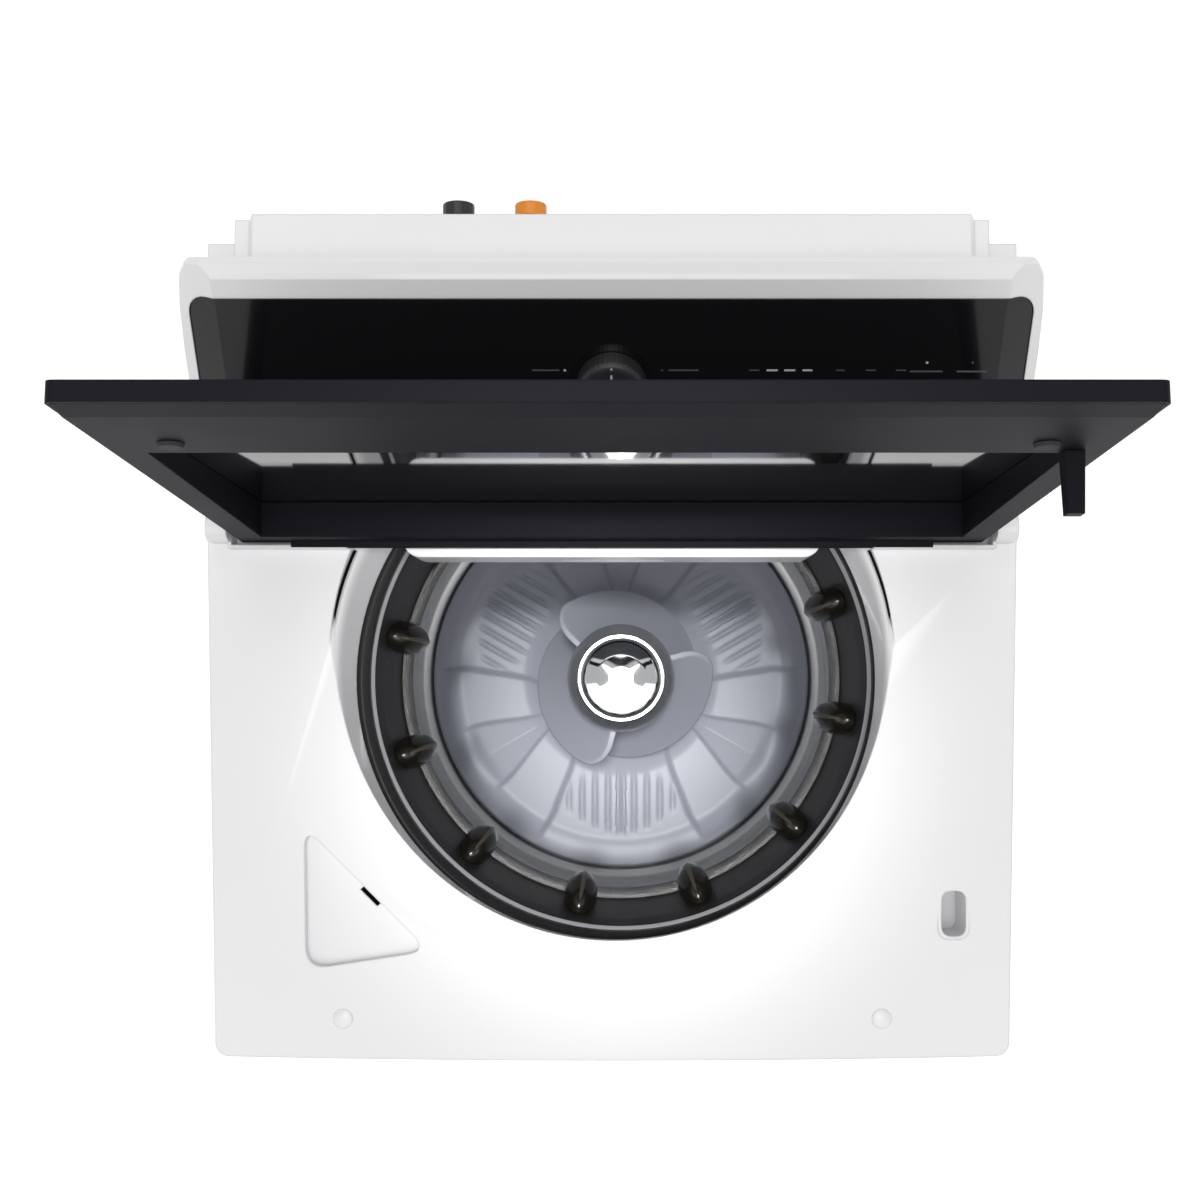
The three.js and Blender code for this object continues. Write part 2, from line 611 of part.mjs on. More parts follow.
function buildConsole(group) {
  const roof = (drop) => onPanel(panelBody(30, -drop, 400, -200, 400));
  const housing = (wall) => alongX(consoleOutline(wall), -WIDTH / 2, WIDTH / 2)
    .intersect(alongY(consoleFront(wall), 100, 320))
    .intersect(consolePlan(wall));
  const outer = housing(0).intersect(roof(-1));
  const inner = housing(CONSOLE_WALL).intersect(roof(CONSOLE_WALL));
  const ledge = onPanel(panelBody(5, -1, PANEL_T + 5, -5, PANEL_L + 5)).intersect(outer);
  const seat = onPanel(panelBody(2, 10, PANEL_T + GAP, -5, PANEL_L + 5).intersect(panelPlan(GAP)));
  const opening = onPanel(box(-295, 295, 10, PANEL_L - 10, -40, 10));
  const wiring = box(-200, 200, CONSOLE_BACK - 10, CONSOLE_BACK + 5, SHELF_Z + 8, SHELF_Z + 40);
  piece(group, 'console_shell', cut(join(cut(outer, inner), ledge), seat, opening, wiring), WHITE);

  const panel = new THREE.Group();
  panel.position.set(0, PANEL_Y, PANEL_Z);
  panel.rotation.x = rad(PANEL_TILT);
  group.add(panel);
  const wells = buttonPlaces.map(({ x, y }) => rod(BUTTON_R + GAP, -20, 5, x, y, 20));
  piece(panel, 'console_panel', cut(
    panelBody(2, 0, PANEL_T, -5, PANEL_L + 5).intersect(panelPlan(0)),
    rod(DIAL_WELL_R, -2, 5, 0, DIAL_Y, 40),
    rod(5 + GAP, -20, 5, 0, DIAL_Y, 16),
    ...wells,
  ), GLOSS_BLACK);
  const knob = turned([
    [0, -16], [5, -16], [5, -1.5], [DIAL_R, -1.5], [DIAL_R, DIAL_H - 4], [DIAL_R - 3, DIAL_H - 1],
    [DIAL_R - 6, DIAL_H], [0, DIAL_H],
  ], 24);
  piece(panel, 'dial', knob, DARK_GREY).position.set(0, DIAL_Y, 0);
  for (const { name, x, y } of buttonPlaces) {
    const button = turned([[0, -9], [BUTTON_R - 2, -9], [BUTTON_R, -7], [BUTTON_R, 0.6], [0, 1]], 16);
    piece(panel, `${name}_button`, button, DARK_GREY).position.set(x, y, 0);
  }
  piece(panel, 'control_board', join(
    box(-150, 285, 14, 136, -34, -32.2),
    box(-120, -70, 30, 70, -32.5, -22),
    box(-40, -15, 90, 125, -32.5, -20),
    box(60, 110, 40, 100, -32.5, -24),
    rod(9, -32.5, -17.5, 0, DIAL_Y, 16),
  ), BOARD_GREEN);
}

// ---------------------------------------------------------------- rear housing and water inlet
function buildRear(group) {
  const front = CONSOLE_BACK + GAP;
  const bottom = SHELF_Z + GAP;
  const step = HOUSING_TOP - 17;
  const outline = (inset) => [
    [HOUSING_STEP_W / 2 - inset, bottom - (inset ? 5 : 0)], [HOUSING_STEP_W / 2 - inset, step - inset],
    [HOUSING_W / 2 - inset, step - inset], [HOUSING_W / 2 - 6 - inset, HOUSING_TOP - inset],
  ];
  const both = (half) => [...half, ...half.map(([x, z]) => [-x, z]).reverse()];
  const overhang = box(
    -HOUSING_STEP_W / 2, HOUSING_STEP_W / 2, BACK_Y + GAP, HOUSING_BACK, bottom - 60, bottom + 2);
  const outer = join(alongY(both(outline(0)), front, HOUSING_BACK), overhang);
  const inner = alongY(both(outline(3)), front - 5, HOUSING_BACK - 3);
  const vents = VENT_XS.map((x) => box(
    x - VENT_HALF, x + VENT_HALF, HOUSING_BACK - 1, HOUSING_BACK + 3, SHELF_Z + 30, SHELF_Z + 42));
  const valves = Object.values(VALVE_XS);
  const ports = valves.map((x) => rodY(NOZZLE_R + 2, HOUSING_BACK - 9, HOUSING_BACK + 9, x, VALVE_Z));
  piece(group, 'rear_housing', cut(join(cut(outer, inner), ...vents), ...ports), WHITE);

  const nozzles = valves.map((x) => cut(
    rodY(NOZZLE_R, 338, HOUSING_BACK + 11, x, VALVE_Z),
    rodY(NOZZLE_R - 3, 345, HOUSING_BACK + 12, x, VALVE_Z)));
  const coils = valves.map((x) => rod(11, SHELF_Z + 20, SHELF_Z + 56, x, 322, 16));
  const spout = rod(9, SHELF_Z + 8, SHELF_Z + 22, -97, 318, 16);
  const valveBlock = box(-142, -52, 312, 340, SHELF_Z + 19, SHELF_Z + 50);
  piece(group, 'inlet_valve', join(valveBlock, ...nozzles, ...coils, spout), TUB_PLASTIC);
  for (const [name, x] of Object.entries(VALVE_XS)) {
    const cap = cut(
      rodY(CAP_R, HOUSING_BACK + 3.3, CAP_END, x, VALVE_Z, 20),
      rodY(NOZZLE_R + GAP, HOUSING_BACK - 1, HOUSING_BACK + 11.4, x, VALVE_Z));
    piece(group, `${name}_inlet_cap`, cap, name === 'hot' ? ORANGE : RUBBER);
  }
  piece(group, 'fill_hose', hose(
    [[-97, 318, SHELF_Z + 7.6], [-97, 318, SHELF_Z - 15], [-97, 305, SHELF_Z - 38],
      [-97, 280, DISPENSER_PORT_Z + 2], [-97, DISPENSER_BACK + 1, DISPENSER_PORT_Z]],
    HOSE_R - 4, 0, 10), RUBBER);
  piece(group, 'power_gland', join(
    rodY(GLAND.r, BACK_Y - 8, BACK_Y + 9, GLAND.x, GLAND.z, 20),
    rodY(GLAND.r + 4, BACK_Y + GAP, BACK_Y + 4, GLAND.x, GLAND.z, 20),
  ), RUBBER);
  piece(group, 'drain_outlet', cut(
    join(
      rodY(HOSE_R + 3, BACK_Y - 14, BACK_Y + 18, PUMP_X, OUTLET_Z),
      rodY(HOSE_R + 9, BACK_Y + GAP, BACK_Y + 4, PUMP_X, OUTLET_Z)),
    rodY(HOSE_R - 3, BACK_Y - 20, BACK_Y + 20, PUMP_X, OUTLET_Z),
  ), TUB_PLASTIC);
}

// ---------------------------------------------------------------- dispenser
function buildDispenser(group) {
  const half = DISPENSER_W / 2;
  const plan = new THREE.Shape();
  plan.moveTo(-half, DISPENSER_BACK);
  plan.lineTo(-half, DISPENSER_FRONT + 14);
  plan.absarc(-half + 14, DISPENSER_FRONT + 14, 14, Math.PI, 1.5 * Math.PI);
  plan.absarc(half - 14, DISPENSER_FRONT + 14, 14, 1.5 * Math.PI, 2 * Math.PI);
  plan.lineTo(half, DISPENSER_BACK);
  const body = raised(plan, DISPENSER_BOTTOM, DISPENSER_TOP);
  const inside = box(
    -half + 3, half - 3, DISPENSER_FRONT + 10, DISPENSER_BACK - 3,
    DISPENSER_BOTTOM - 5, DISPENSER_BOTTOM + 6);
  const slotHalf = DRAWER_W / 2 + 0.8;
  const bay = box(
    -slotHalf, slotHalf, DISPENSER_FRONT - 5, DISPENSER_BACK - 8, DISPENSER_BOTTOM + 10, TROUGH_Z - 4);
  const step = box(
    -half - 5, half + 5, TROUGH_FRONT, DISPENSER_BACK + 5, TROUGH_Z - GAP, DISPENSER_TOP + 5);
  const port = rodY(HOSE_R - 2, DISPENSER_BACK - 10, DISPENSER_BACK + 5, -97, DISPENSER_PORT_Z);
  const outlet = box(
    -100, 100, DISPENSER_FRONT + 30, DISPENSER_FRONT + 60, DISPENSER_BOTTOM - 5, DISPENSER_BOTTOM + 12);
  piece(group, 'dispenser_housing', cut(body, inside, bay, step, port, outlet), WHITE);

  const top = TROUGH_Z - 5;
  const floor = DISPENSER_BOTTOM + 11;
  const tray = box(-DRAWER_W / 2, DRAWER_W / 2, DISPENSER_FRONT + 2, DISPENSER_FRONT + DRAWER_L, floor, top);
  const wellEnds = [[-DRAWER_W / 2 + DRAWER_WALL, -12], [-8, DRAWER_W / 2 - DRAWER_WALL]];
  const wellBack = DISPENSER_FRONT + DRAWER_L - DRAWER_WALL;
  const wells = wellEnds.map(([x0, x1]) =>
    box(x0, x1, DISPENSER_FRONT + 8, wellBack, floor + DRAWER_WALL, top + 5));
  const face = box(-DRAWER_W / 2, DRAWER_W / 2, DISPENSER_FRONT, DISPENSER_FRONT + 5, floor, top);
  const grip = box(-45, 45, DISPENSER_FRONT - 1, DISPENSER_FRONT + 4, floor - 1, floor + 10);
  piece(group, 'dispenser_drawer', cut(join(tray, face), ...wells, grip), WHITE);
}

// ---------------------------------------------------------------- lid, in its hinge's frame
const lidOut = (u) => FREE_EDGE_OUT + LID_WEDGE * (LID_LENGTH - u);

/** Plan outline of the lid, standing in the hinge frame, with its free corners rounded. */
function lidPlan(half, low, high, r, y0, y1) {
  const shape = new THREE.Shape();
  shape.moveTo(-half, low);
  shape.lineTo(half, low);
  shape.lineTo(half, high - r);
  shape.absarc(half - r, high - r, r, 0, Math.PI / 2);
  shape.absarc(-half + r, high - r, r, Math.PI / 2, Math.PI);
  const options = { depth: y1 - y0, bevelEnabled: false, curveSegments: 5 };
  const geometry = new THREE.ExtrudeGeometry(shape, options);
  return solid(geometry.rotateX(Math.PI / 2).translate(0, y1, 0));
}

function buildLid(group) {
  const lid = new THREE.Group();
  lid.position.set(0, HINGE_Y, HINGE_Z);
  lid.rotation.x = rad(-LID_LEAN);
  group.add(lid);
  const half = LID_W / 2;
  const windowHalf = WINDOW_W / 2;
  const outerSide = (offset) => alongX([
    [-60, -LID_TAIL - 5], [lidOut(-LID_TAIL - 5) - offset, -LID_TAIL - 5],
    [lidOut(LID_LENGTH + 5) - offset, LID_LENGTH + 5], [-60, LID_LENGTH + 5],
  ], -half - 5, half + 5);
  const rimFace = FRAME_FACE + 2.5;
  const glassHole = box(-windowHalf - GLASS_LAP - GAP, windowHalf + GLASS_LAP + GAP, -60, 60,
    WINDOW_NEAR - GLASS_LAP - GAP, WINDOW_FAR + GLASS_LAP + GAP);
  const pinHoles = [-1, 1].map((side) => rodX(HINGE_PIN_R + GAP,
    ...[side * (half + 5), side * (half - 20)].sort((a, b) => a - b), 0, 0));

  const tray = lidPlan(half, -LID_TAIL, LID_LENGTH, LID_CORNER, rimFace, 60).intersect(outerSide(0));
  const innerCorner = LID_CORNER - 2;
  const hollow = lidPlan(
    half - LID_WALL, -LID_TAIL + LID_WALL, LID_LENGTH - LID_WALL, innerCorner, -60, 60,
  ).intersect(outerSide(LID_WALL));
  piece(lid, 'lid_shell', cut(tray, hollow, glassHole, ...pinHoles), NAVY);

  const fit = LID_WALL + GAP;
  const block = lidPlan(
    half - fit, -LID_TAIL + fit, LID_LENGTH - fit, innerCorner, FRAME_FACE, 60,
  ).intersect(outerSide(fit));
  const window = box(-windowHalf, windowHalf, -60, 60, WINDOW_NEAR, WINDOW_FAR);
  const glassSeat = glassHole.subtract(outerSide(GLASS_T + GAP + 0.4));
  const chamferStart = LID_LENGTH - 26;
  const chamfer = alongX([
    [-60, chamferStart], [FRAME_FACE, chamferStart],
    [FRAME_FACE + 2.5, LID_LENGTH - 2], [-60, LID_LENGTH - 2],
  ], -half, half);
  const lip = box(-270, 270, FRAME_FACE - 5, FRAME_FACE + 1, -LID_TAIL + fit, -6);
  piece(lid, 'lid_frame', cut(join(cut(block, chamfer), lip), window, glassSeat, ...pinHoles), NAVY);

  const paneHalf = windowHalf + GLASS_LAP;
  const pane = box(-paneHalf, paneHalf, -60, 60, WINDOW_NEAR - GLASS_LAP, WINDOW_FAR + GLASS_LAP)
    .intersect(outerSide(0.4)).subtract(outerSide(0.4 + GLASS_T));
  piece(lid, 'lid_glass', pane, DARK_GLASS);

  const face = FRAME_FACE - GAP;
  const bumper = new THREE.CylinderGeometry(BUMPER_R, BUMPER_R - 1, BUMPER_H, 20);
  bumper.translate(0, face - BUMPER_H / 2, 0);
  for (const [name, x] of [['left', -BUMPER_X], ['right', BUMPER_X]]) {
    piece(lid, `lid_bumper_${name}`, solid(bumper), RUBBER).position.set(x, 0, BUMPER_U);
  }
  const hook = new THREE.CylinderGeometry(6.6 * Math.SQRT2, 5.4 * Math.SQRT2, HOOK_LENGTH, 4, 1)
    .rotateY(Math.PI / 4).translate(0, face - HOOK_LENGTH / 2, 0);
  piece(lid, 'lid_hook', solid(hook), NAVY).position.set(HOOK_X, 0, HOOK_U);
  for (const [name, side] of [['left', -1], ['right', 1]]) {
    const ends = [side * (half - 18), side * (half + 20)].sort((a, b) => a - b);
    piece(lid, `hinge_pin_${name}`, rodX(HINGE_PIN_R, ...ends, 0, 0), ZINC);
  }
}

// ---------------------------------------------------------------- tub and basket, in the drum's frame
function buildTub(drum) {
  const floor = TUB_FLOOR + 6;
  const wall = turned([
    [62, TUB_FLOOR], [TUB_R - 4, TUB_FLOOR], [TUB_R, floor], [TUB_R, TUB_TOP],
    [TUB_R - TUB_WALL, TUB_TOP], [TUB_R - TUB_WALL, floor + 4], [TUB_R - 10, floor], [62, floor],
  ]);
  const reach = Math.hypot(ROD_X, ROD_Y);
  const lug = join(
    box(TUB_R - 3, reach + 18, -20, 20, LUG_Z, LUG_Z + 8),
    box(TUB_R - 3, reach + 14, -20, -16, LUG_Z + 7, LUG_Z + LUG_H - 6),
    box(TUB_R - 3, reach + 14, 16, 20, LUG_Z + 7, LUG_Z + LUG_H - 6),
    rod(15, LUG_Z, LUG_Z + LUG_H, reach, 0, 20),
    box(TUB_R - 3, TUB_R + 25, -20, 20, LUG_Z - 30, LUG_Z + 2),
  );
  const boredLug = cut(lug, rod(9, LUG_Z - 40, LUG_Z + LUG_H + 5, reach, 0, 16));
  const lugs = [1, 3, 5, 7].map((eighth) => spun(boredLug, eighth * 45));
  const sump = rod(22, TUB_FLOOR - 5, floor + 5, PUMP_X - DRUM_X, PUMP_Y - DRUM_Y, 20);
  piece(drum, 'outer_tub', cut(join(wall, ...lugs), sump), TUB_PLASTIC);

  const outside = TUB_R + GAP;
  piece(drum, 'tub_cover', turned([
    [COVER_R, COVER_TOP - 16], [COVER_R, COVER_TOP - 6], [COVER_R + 5.5, COVER_TOP], [TUB_R - 2, COVER_TOP],
    [TUB_R + 4, COVER_TOP - 6], [TUB_R + 4, TUB_TOP - 30], [outside, TUB_TOP - 30], [outside, TUB_TOP + GAP],
    [COVER_R + 4.5, TUB_TOP + GAP], [COVER_R + 3, COVER_TOP - 16],
  ]), DARK_GREY);
}

/** A thin sheet turned round the drum's axis, from its inner profile: flat up to a point, then rising. */
function sheet(profile, flatPoints) {
  const under = profile.map(([r, z], i) => {
    const outwards = i === 0 ? 0 : BASKET_WALL;
    if (i < flatPoints) return [r + outwards, z - BASKET_WALL];
    return [r + outwards, i === profile.length - 1 ? z : z - BASKET_WALL / 2];
  });
  return turned([...profile, ...under.reverse()]);
}

function buildBasket(drum) {
  const inner = BASKET_R;
  const outer = BASKET_R + BASKET_WALL;
  const lapped = inner - BASKET_WALL - GAP;
  const pan = inner - 23;
  piece(drum, 'basket_base', sheet([
    [22, BASKET_FLOOR], [pan - 2, BASKET_FLOOR], [pan, BASKET_FLOOR + 2], [pan, 260], [pan + 10, 262.5],
    [pan + 16, 266], [lapped - 2, 273], [lapped, 284], [lapped, BASKET_SEAM + BASKET_LAP],
  ], 3), STEEL);
  piece(drum, 'basket_wall', turned([
    [inner, BASKET_SEAM], [inner, BASKET_TOP], [outer, BASKET_TOP], [outer, BASKET_SEAM],
  ]), STEEL);

  const ringGrowth = (RING_R_HIGH - RING_R_LOW) / (RING_TOP - RING_BOTTOM);
  const ringWall = (z) => RING_R_LOW + ringGrowth * (z - RING_BOTTOM);
  piece(drum, 'balance_ring', turned([
    [RING_R_LOW, RING_BOTTOM], [inner - 0.4, RING_BOTTOM], [inner - 0.4, BASKET_TOP + GAP],
    [outer + 1, BASKET_TOP + GAP], [outer + 1, RING_TOP], [RING_R_HIGH + 7, RING_TOP],
    [RING_R_HIGH + 2, RING_TOP - 1.5], [ringWall(RING_TOP - 6), RING_TOP - 6],
  ]), DARK_GREY);

  const bandLow = RING_BOTTOM + 2;
  const bandHigh = RING_BOTTOM + 20;
  const carrier = turned([
    [ringWall(bandLow) - 5, bandLow], [ringWall(bandLow) + 1, bandLow],
    [ringWall(bandHigh) + 1, bandHigh], [ringWall(bandHigh) - 3, bandHigh],
  ]);
  const domes = [];
  for (let k = 0; k < SCOOPS; k += 1) {
    const dome = new THREE.SphereGeometry(1, 8, 6).scale(21, 15.5, 38);
    dome.rotateY(rad(SCOOP_LEAN)).translate(RING_R_LOW + 2.4, 0, RING_BOTTOM + 39);
    const fin = new THREE.BoxGeometry(15, 2.4, 56);
    fin.rotateY(rad(SCOOP_LEAN)).translate(RING_R_LOW - 13.1, 0, RING_BOTTOM + 37);
    domes.push(spun(solid(dome).add(solid(fin)), SCOOP_TURN + k * 360 / SCOOPS));
  }
  const mould = turned([
    [ringWall(RING_BOTTOM - 20) - GAP, RING_BOTTOM - 20], [ringWall(RING_BOTTOM) - GAP, RING_BOTTOM],
    [ringWall(RING_TOP) - GAP, RING_TOP], [0, RING_TOP], [0, RING_BOTTOM - 20],
  ]);
  piece(drum, 'scoop_ring', join(carrier, ...domes).intersect(mould), SCOOP_BROWN);

  const tubeIn = SHAFT_R + 0.5;
  const under = BASKET_FLOOR - BASKET_WALL - GAP;
  const spread = BASKET_R - 70;
  piece(drum, 'basket_hub', turned([
    [tubeIn, 107], [TUBE_R, 107], [TUBE_R, 198], [40, 203], [spread, 212], [spread, under], [tubeIn, under],
  ]), ALUMINIUM);
}

// ---------------------------------------------------------------- agitator, in the drum's frame
/** One vane: a plate standing on end and winding round the post as it goes down. */
function vane(topTurn) {
  const steps = 8;
  const thick = 6;
  const low = PLATE_HUB_TOP + 13;
  const high = POST_TOP - 18;
  const root = 44;
  const geometry = new THREE.BoxGeometry(VANE_R - root, thick, high - low, 1, 1, steps);
  geometry.translate((VANE_R + root) / 2, 0, (low + high) / 2);
  const place = geometry.attributes.position;
  for (let i = 0; i < place.count; i += 1) {
    const drop = (high - place.getZ(i)) / (high - low);
    const reach = place.getX(i) > VANE_R - 1 ? VANE_R - 8 * drop : place.getX(i);
    const angle = rad(topTurn - VANE_TWIST * drop);
    const [x, y] = [reach, place.getY(i)];
    place.setXY(i, x * Math.cos(angle) - y * Math.sin(angle), x * Math.sin(angle) + y * Math.cos(angle));
  }
  return solid(geometry);
}

function buildAgitator(drum) {
  const bore = SHAFT_R + 0.5;
  piece(drum, 'wash_plate', turned([
    [bore, 229], [24, 229], [24, PLATE_HUB_TOP - 5], [71, PLATE_HUB_TOP - 5], [89, 273], [118, 257],
    [PLATE_R - 73, 249],
    [PLATE_R - 29, 251], [PLATE_R - 9, PLATE_RIM - 6], [PLATE_R - 4, 232], [PLATE_R - 1, 232],
    [PLATE_R, PLATE_RIM - 3], [PLATE_R - 2, PLATE_RIM], [PLATE_R - 10, PLATE_RIM - 1],
    [PLATE_R - 28, 256], [PLATE_R - 73, 254], [120, 262], [92, 278],
    [74, PLATE_HUB_TOP], [bore, PLATE_HUB_TOP],
  ]), PLATE_GREY);
  const bottom = PLATE_HUB_TOP + GAP;
  const post = turned([
    [64, bottom], [70, bottom], [50, 330], [46, 500], [56, POST_TOP], [0, POST_TOP], [0, POST_TOP - 5],
    [51, POST_TOP - 5], [42, 500], [46, 330],
  ], 24);
  const vanes = [];
  for (let k = 0; k < VANES; k += 1) vanes.push(vane(262 + k * 360 / VANES));
  piece(drum, 'agitator_post', join(post, ...vanes), PLATE_GREY);
  const base = POST_TOP + 0.5;
  piece(drum, 'agitator_cap', turned([
    [0, base], [CAP_TOP_R - 2.7, base], [CAP_TOP_R, base + 2.5], [CAP_TOP_R, base + 9.5], [54, base + 19.5],
    [40, base + 27], [20, base + 30.5], [0, base + 31.5],
  ], 24), CHROME);
  piece(drum, 'wash_shaft', turned([
    [0, 94], [SHAFT_R, 94], [SHAFT_R, 262], [SHAFT_R - 2, 264], [0, 264],
  ], 20), ZINC);
}

function buildDrive(drum) {
  piece(drum, 'bearing_housing', turned([
    [BEARING_R, 128], [46, 128], [46, 176], [180, 182], [180, TUB_FLOOR - GAP], [62 - GAP, TUB_FLOOR - GAP],
    [62 - GAP, 196], [BEARING_R, 196],
  ]), ALUMINIUM);
  for (const [name, low] of [['upper_bearing', 178], ['lower_bearing', 130]]) {
    piece(drum, name, turned([
      [TUBE_R + GAP, low], [BEARING_R - GAP, low], [BEARING_R - GAP, low + 15], [TUBE_R + GAP, low + 15],
    ], 32), ZINC);
  }
  piece(drum, 'stator', turned([
    [46 + GAP, 112], [126, 112], [126, 132], [70, 132], [70, 168], [46 + GAP, 168],
  ]), COPPER);
  piece(drum, 'rotor', turned([
    [SHAFT_R + 0.5, 94], [ROTOR_R - 3, 94], [ROTOR_R, 97], [ROTOR_R, 150], [ROTOR_R - 4, 150],
    [ROTOR_R - 4, 99], [30, 99], [30, 105], [SHAFT_R + 0.5, 105],
  ]), DARK_GREY);
  piece(drum, 'clutch_slider', turned([
    [TUBE_R + 0.5, 108], [38, 108], [38, 114], [30, 118], [TUBE_R + 0.5, 118],
  ], 32), ZINC);
}

// ---------------------------------------------------------------- suspension, pump and drain
/** A coil spring standing on z = 0. */
function coil(radius, wire, height, turns) {
  const points = [];
  const steps = turns * 8;
  for (let i = 0; i <= steps; i += 1) {
    const angle = i / 8 * 2 * Math.PI;
    points.push([radius * Math.cos(angle), radius * Math.sin(angle), wire + (height - 2 * wire) * i / steps]);
  }
  const path = new THREE.CatmullRomCurve3(points.map((p) => new THREE.Vector3(...p)));
  const section = new THREE.Shape().absarc(0, 0, wire, 0, 2 * Math.PI);
  return solid(new THREE.ExtrudeGeometry(section, { steps, extrudePath: path, curveSegments: 2 }));
}

function buildSuspension(group) {
  const ballZ = GUSSET_Z + GUSSET_T + GAP;
  const hanger = turned([
    [0, ROD_FOOT_Z], [18, ROD_FOOT_Z], [18, ROD_FOOT_Z + 8], [ROD_R, ROD_FOOT_Z + 8], [ROD_R, ballZ],
    [12, ballZ], [14, ballZ + 6], [10, ballZ + 14], [0, ballZ + 16],
  ], 16);
  const seat = ROD_FOOT_Z + 8 + 0.5;
  const spring = coil(13.5, 2.2, LUG_Z - 0.5 - seat, 5);
  for (const [place, [x, y]] of Object.entries(rodPlaces)) {
    piece(group, `rod_${place}`, hanger, ZINC).position.set(x, y, 0);
    piece(group, `spring_${place}`, spring, ZINC).position.set(x, y, seat);
  }
}

function buildDrain(group) {
  const base = BASE_Z + BASE_H + GAP;
  const motor = turned([
    [0, base], [PUMP_R, base], [PUMP_R, 112], [32, 116], [32, PUMP_TOP], [0, PUMP_TOP],
  ], 28);
  const spout = PUMP_R + 14;
  const pump = piece(group, 'drain_pump', join(motor, rodY(12, 30, spout, 0, 92, 16)), DARK_GREY);
  pump.position.set(PUMP_X, PUMP_Y, 0);

  const low = PUMP_TOP + GAP;
  const high = TUB_FLOOR - GAP;
  const folds = 3;
  const outside = [];
  const inside = [];
  for (let i = 0; i <= 2 * folds; i += 1) {
    const z = low + (high - low) * i / (2 * folds);
    const r = i % 2 === 0 ? 25 : 29;
    outside.push([r, z]);
    inside.unshift([r - 2.5, z]);
  }
  piece(group, 'sump_bellows', turned([...outside, ...inside], 16), RUBBER).position.set(PUMP_X, PUMP_Y, 0);

  const riser = BACK_Y - 45;
  const end = BACK_Y - 14 - GAP;
  piece(group, 'drain_hose', hose([
    [PUMP_X, PUMP_Y + spout + GAP, 92], [PUMP_X, 230, 92], [PUMP_X, riser - 16, 104], [PUMP_X, riser, 150],
    [PUMP_X, riser, 400], [PUMP_X, riser, OUTLET_Z - 50], [PUMP_X, riser + 5, OUTLET_Z - 14],
    [PUMP_X, end - 12, OUTLET_Z], [PUMP_X, end, OUTLET_Z],
  ], HOSE_R - 3, 0, 26), RUBBER);
}

// ---------------------------------------------------------------- whole machine
const machine = new THREE.Group();
buildCabinet(machine);
buildDeck(machine);
buildConsole(machine);
buildRear(machine);
buildDispenser(machine);
buildLid(machine);
const drum = new THREE.Group();
drum.position.set(DRUM_X, DRUM_Y, 0);
machine.add(drum);
buildTub(drum);
buildBasket(drum);
buildAgitator(drum);
buildDrive(drum);
buildSuspension(machine);
buildDrain(machine);

export default machine;
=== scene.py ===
"""Looks of a top load washing machine with its lid standing open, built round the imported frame."""
import json
import math

import bmesh
import bpy
from mathutils import Euler, Matrix, Vector


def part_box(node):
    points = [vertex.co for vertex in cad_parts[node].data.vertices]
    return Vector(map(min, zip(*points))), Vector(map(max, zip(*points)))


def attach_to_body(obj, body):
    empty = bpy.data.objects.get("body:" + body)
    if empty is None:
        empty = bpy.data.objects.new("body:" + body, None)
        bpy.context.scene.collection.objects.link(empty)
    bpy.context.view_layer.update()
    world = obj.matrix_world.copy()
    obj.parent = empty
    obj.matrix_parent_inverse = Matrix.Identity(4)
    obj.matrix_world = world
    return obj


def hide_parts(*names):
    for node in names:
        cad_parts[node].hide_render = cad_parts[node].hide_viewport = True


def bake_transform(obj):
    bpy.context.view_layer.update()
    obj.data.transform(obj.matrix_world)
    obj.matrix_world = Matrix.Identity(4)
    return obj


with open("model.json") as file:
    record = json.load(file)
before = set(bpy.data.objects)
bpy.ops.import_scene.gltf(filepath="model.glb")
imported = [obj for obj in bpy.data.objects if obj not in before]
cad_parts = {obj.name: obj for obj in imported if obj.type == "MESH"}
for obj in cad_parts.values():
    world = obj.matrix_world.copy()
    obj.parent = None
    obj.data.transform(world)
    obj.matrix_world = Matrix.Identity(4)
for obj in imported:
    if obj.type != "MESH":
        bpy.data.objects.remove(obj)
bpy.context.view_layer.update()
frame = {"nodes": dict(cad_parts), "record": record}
MM = 0.001
FINE = 160  # sides of a large round piece


# ---------------------------------------------------------------- camera
camera_data = bpy.data.cameras.new("camera")
camera_data.lens = 48
camera_data.sensor_width = 36
camera_data.shift_x = -0.0175
camera_data.clip_end = 20
camera = bpy.data.objects.new("camera", camera_data)
camera.location = (0.0075, -0.030, 2.3414)
camera.rotation_euler = (math.radians(2.79), 0, 0)
bpy.context.scene.collection.objects.link(camera)
bpy.context.scene.camera = camera
bpy.context.scene.view_settings.view_transform = "Standard"


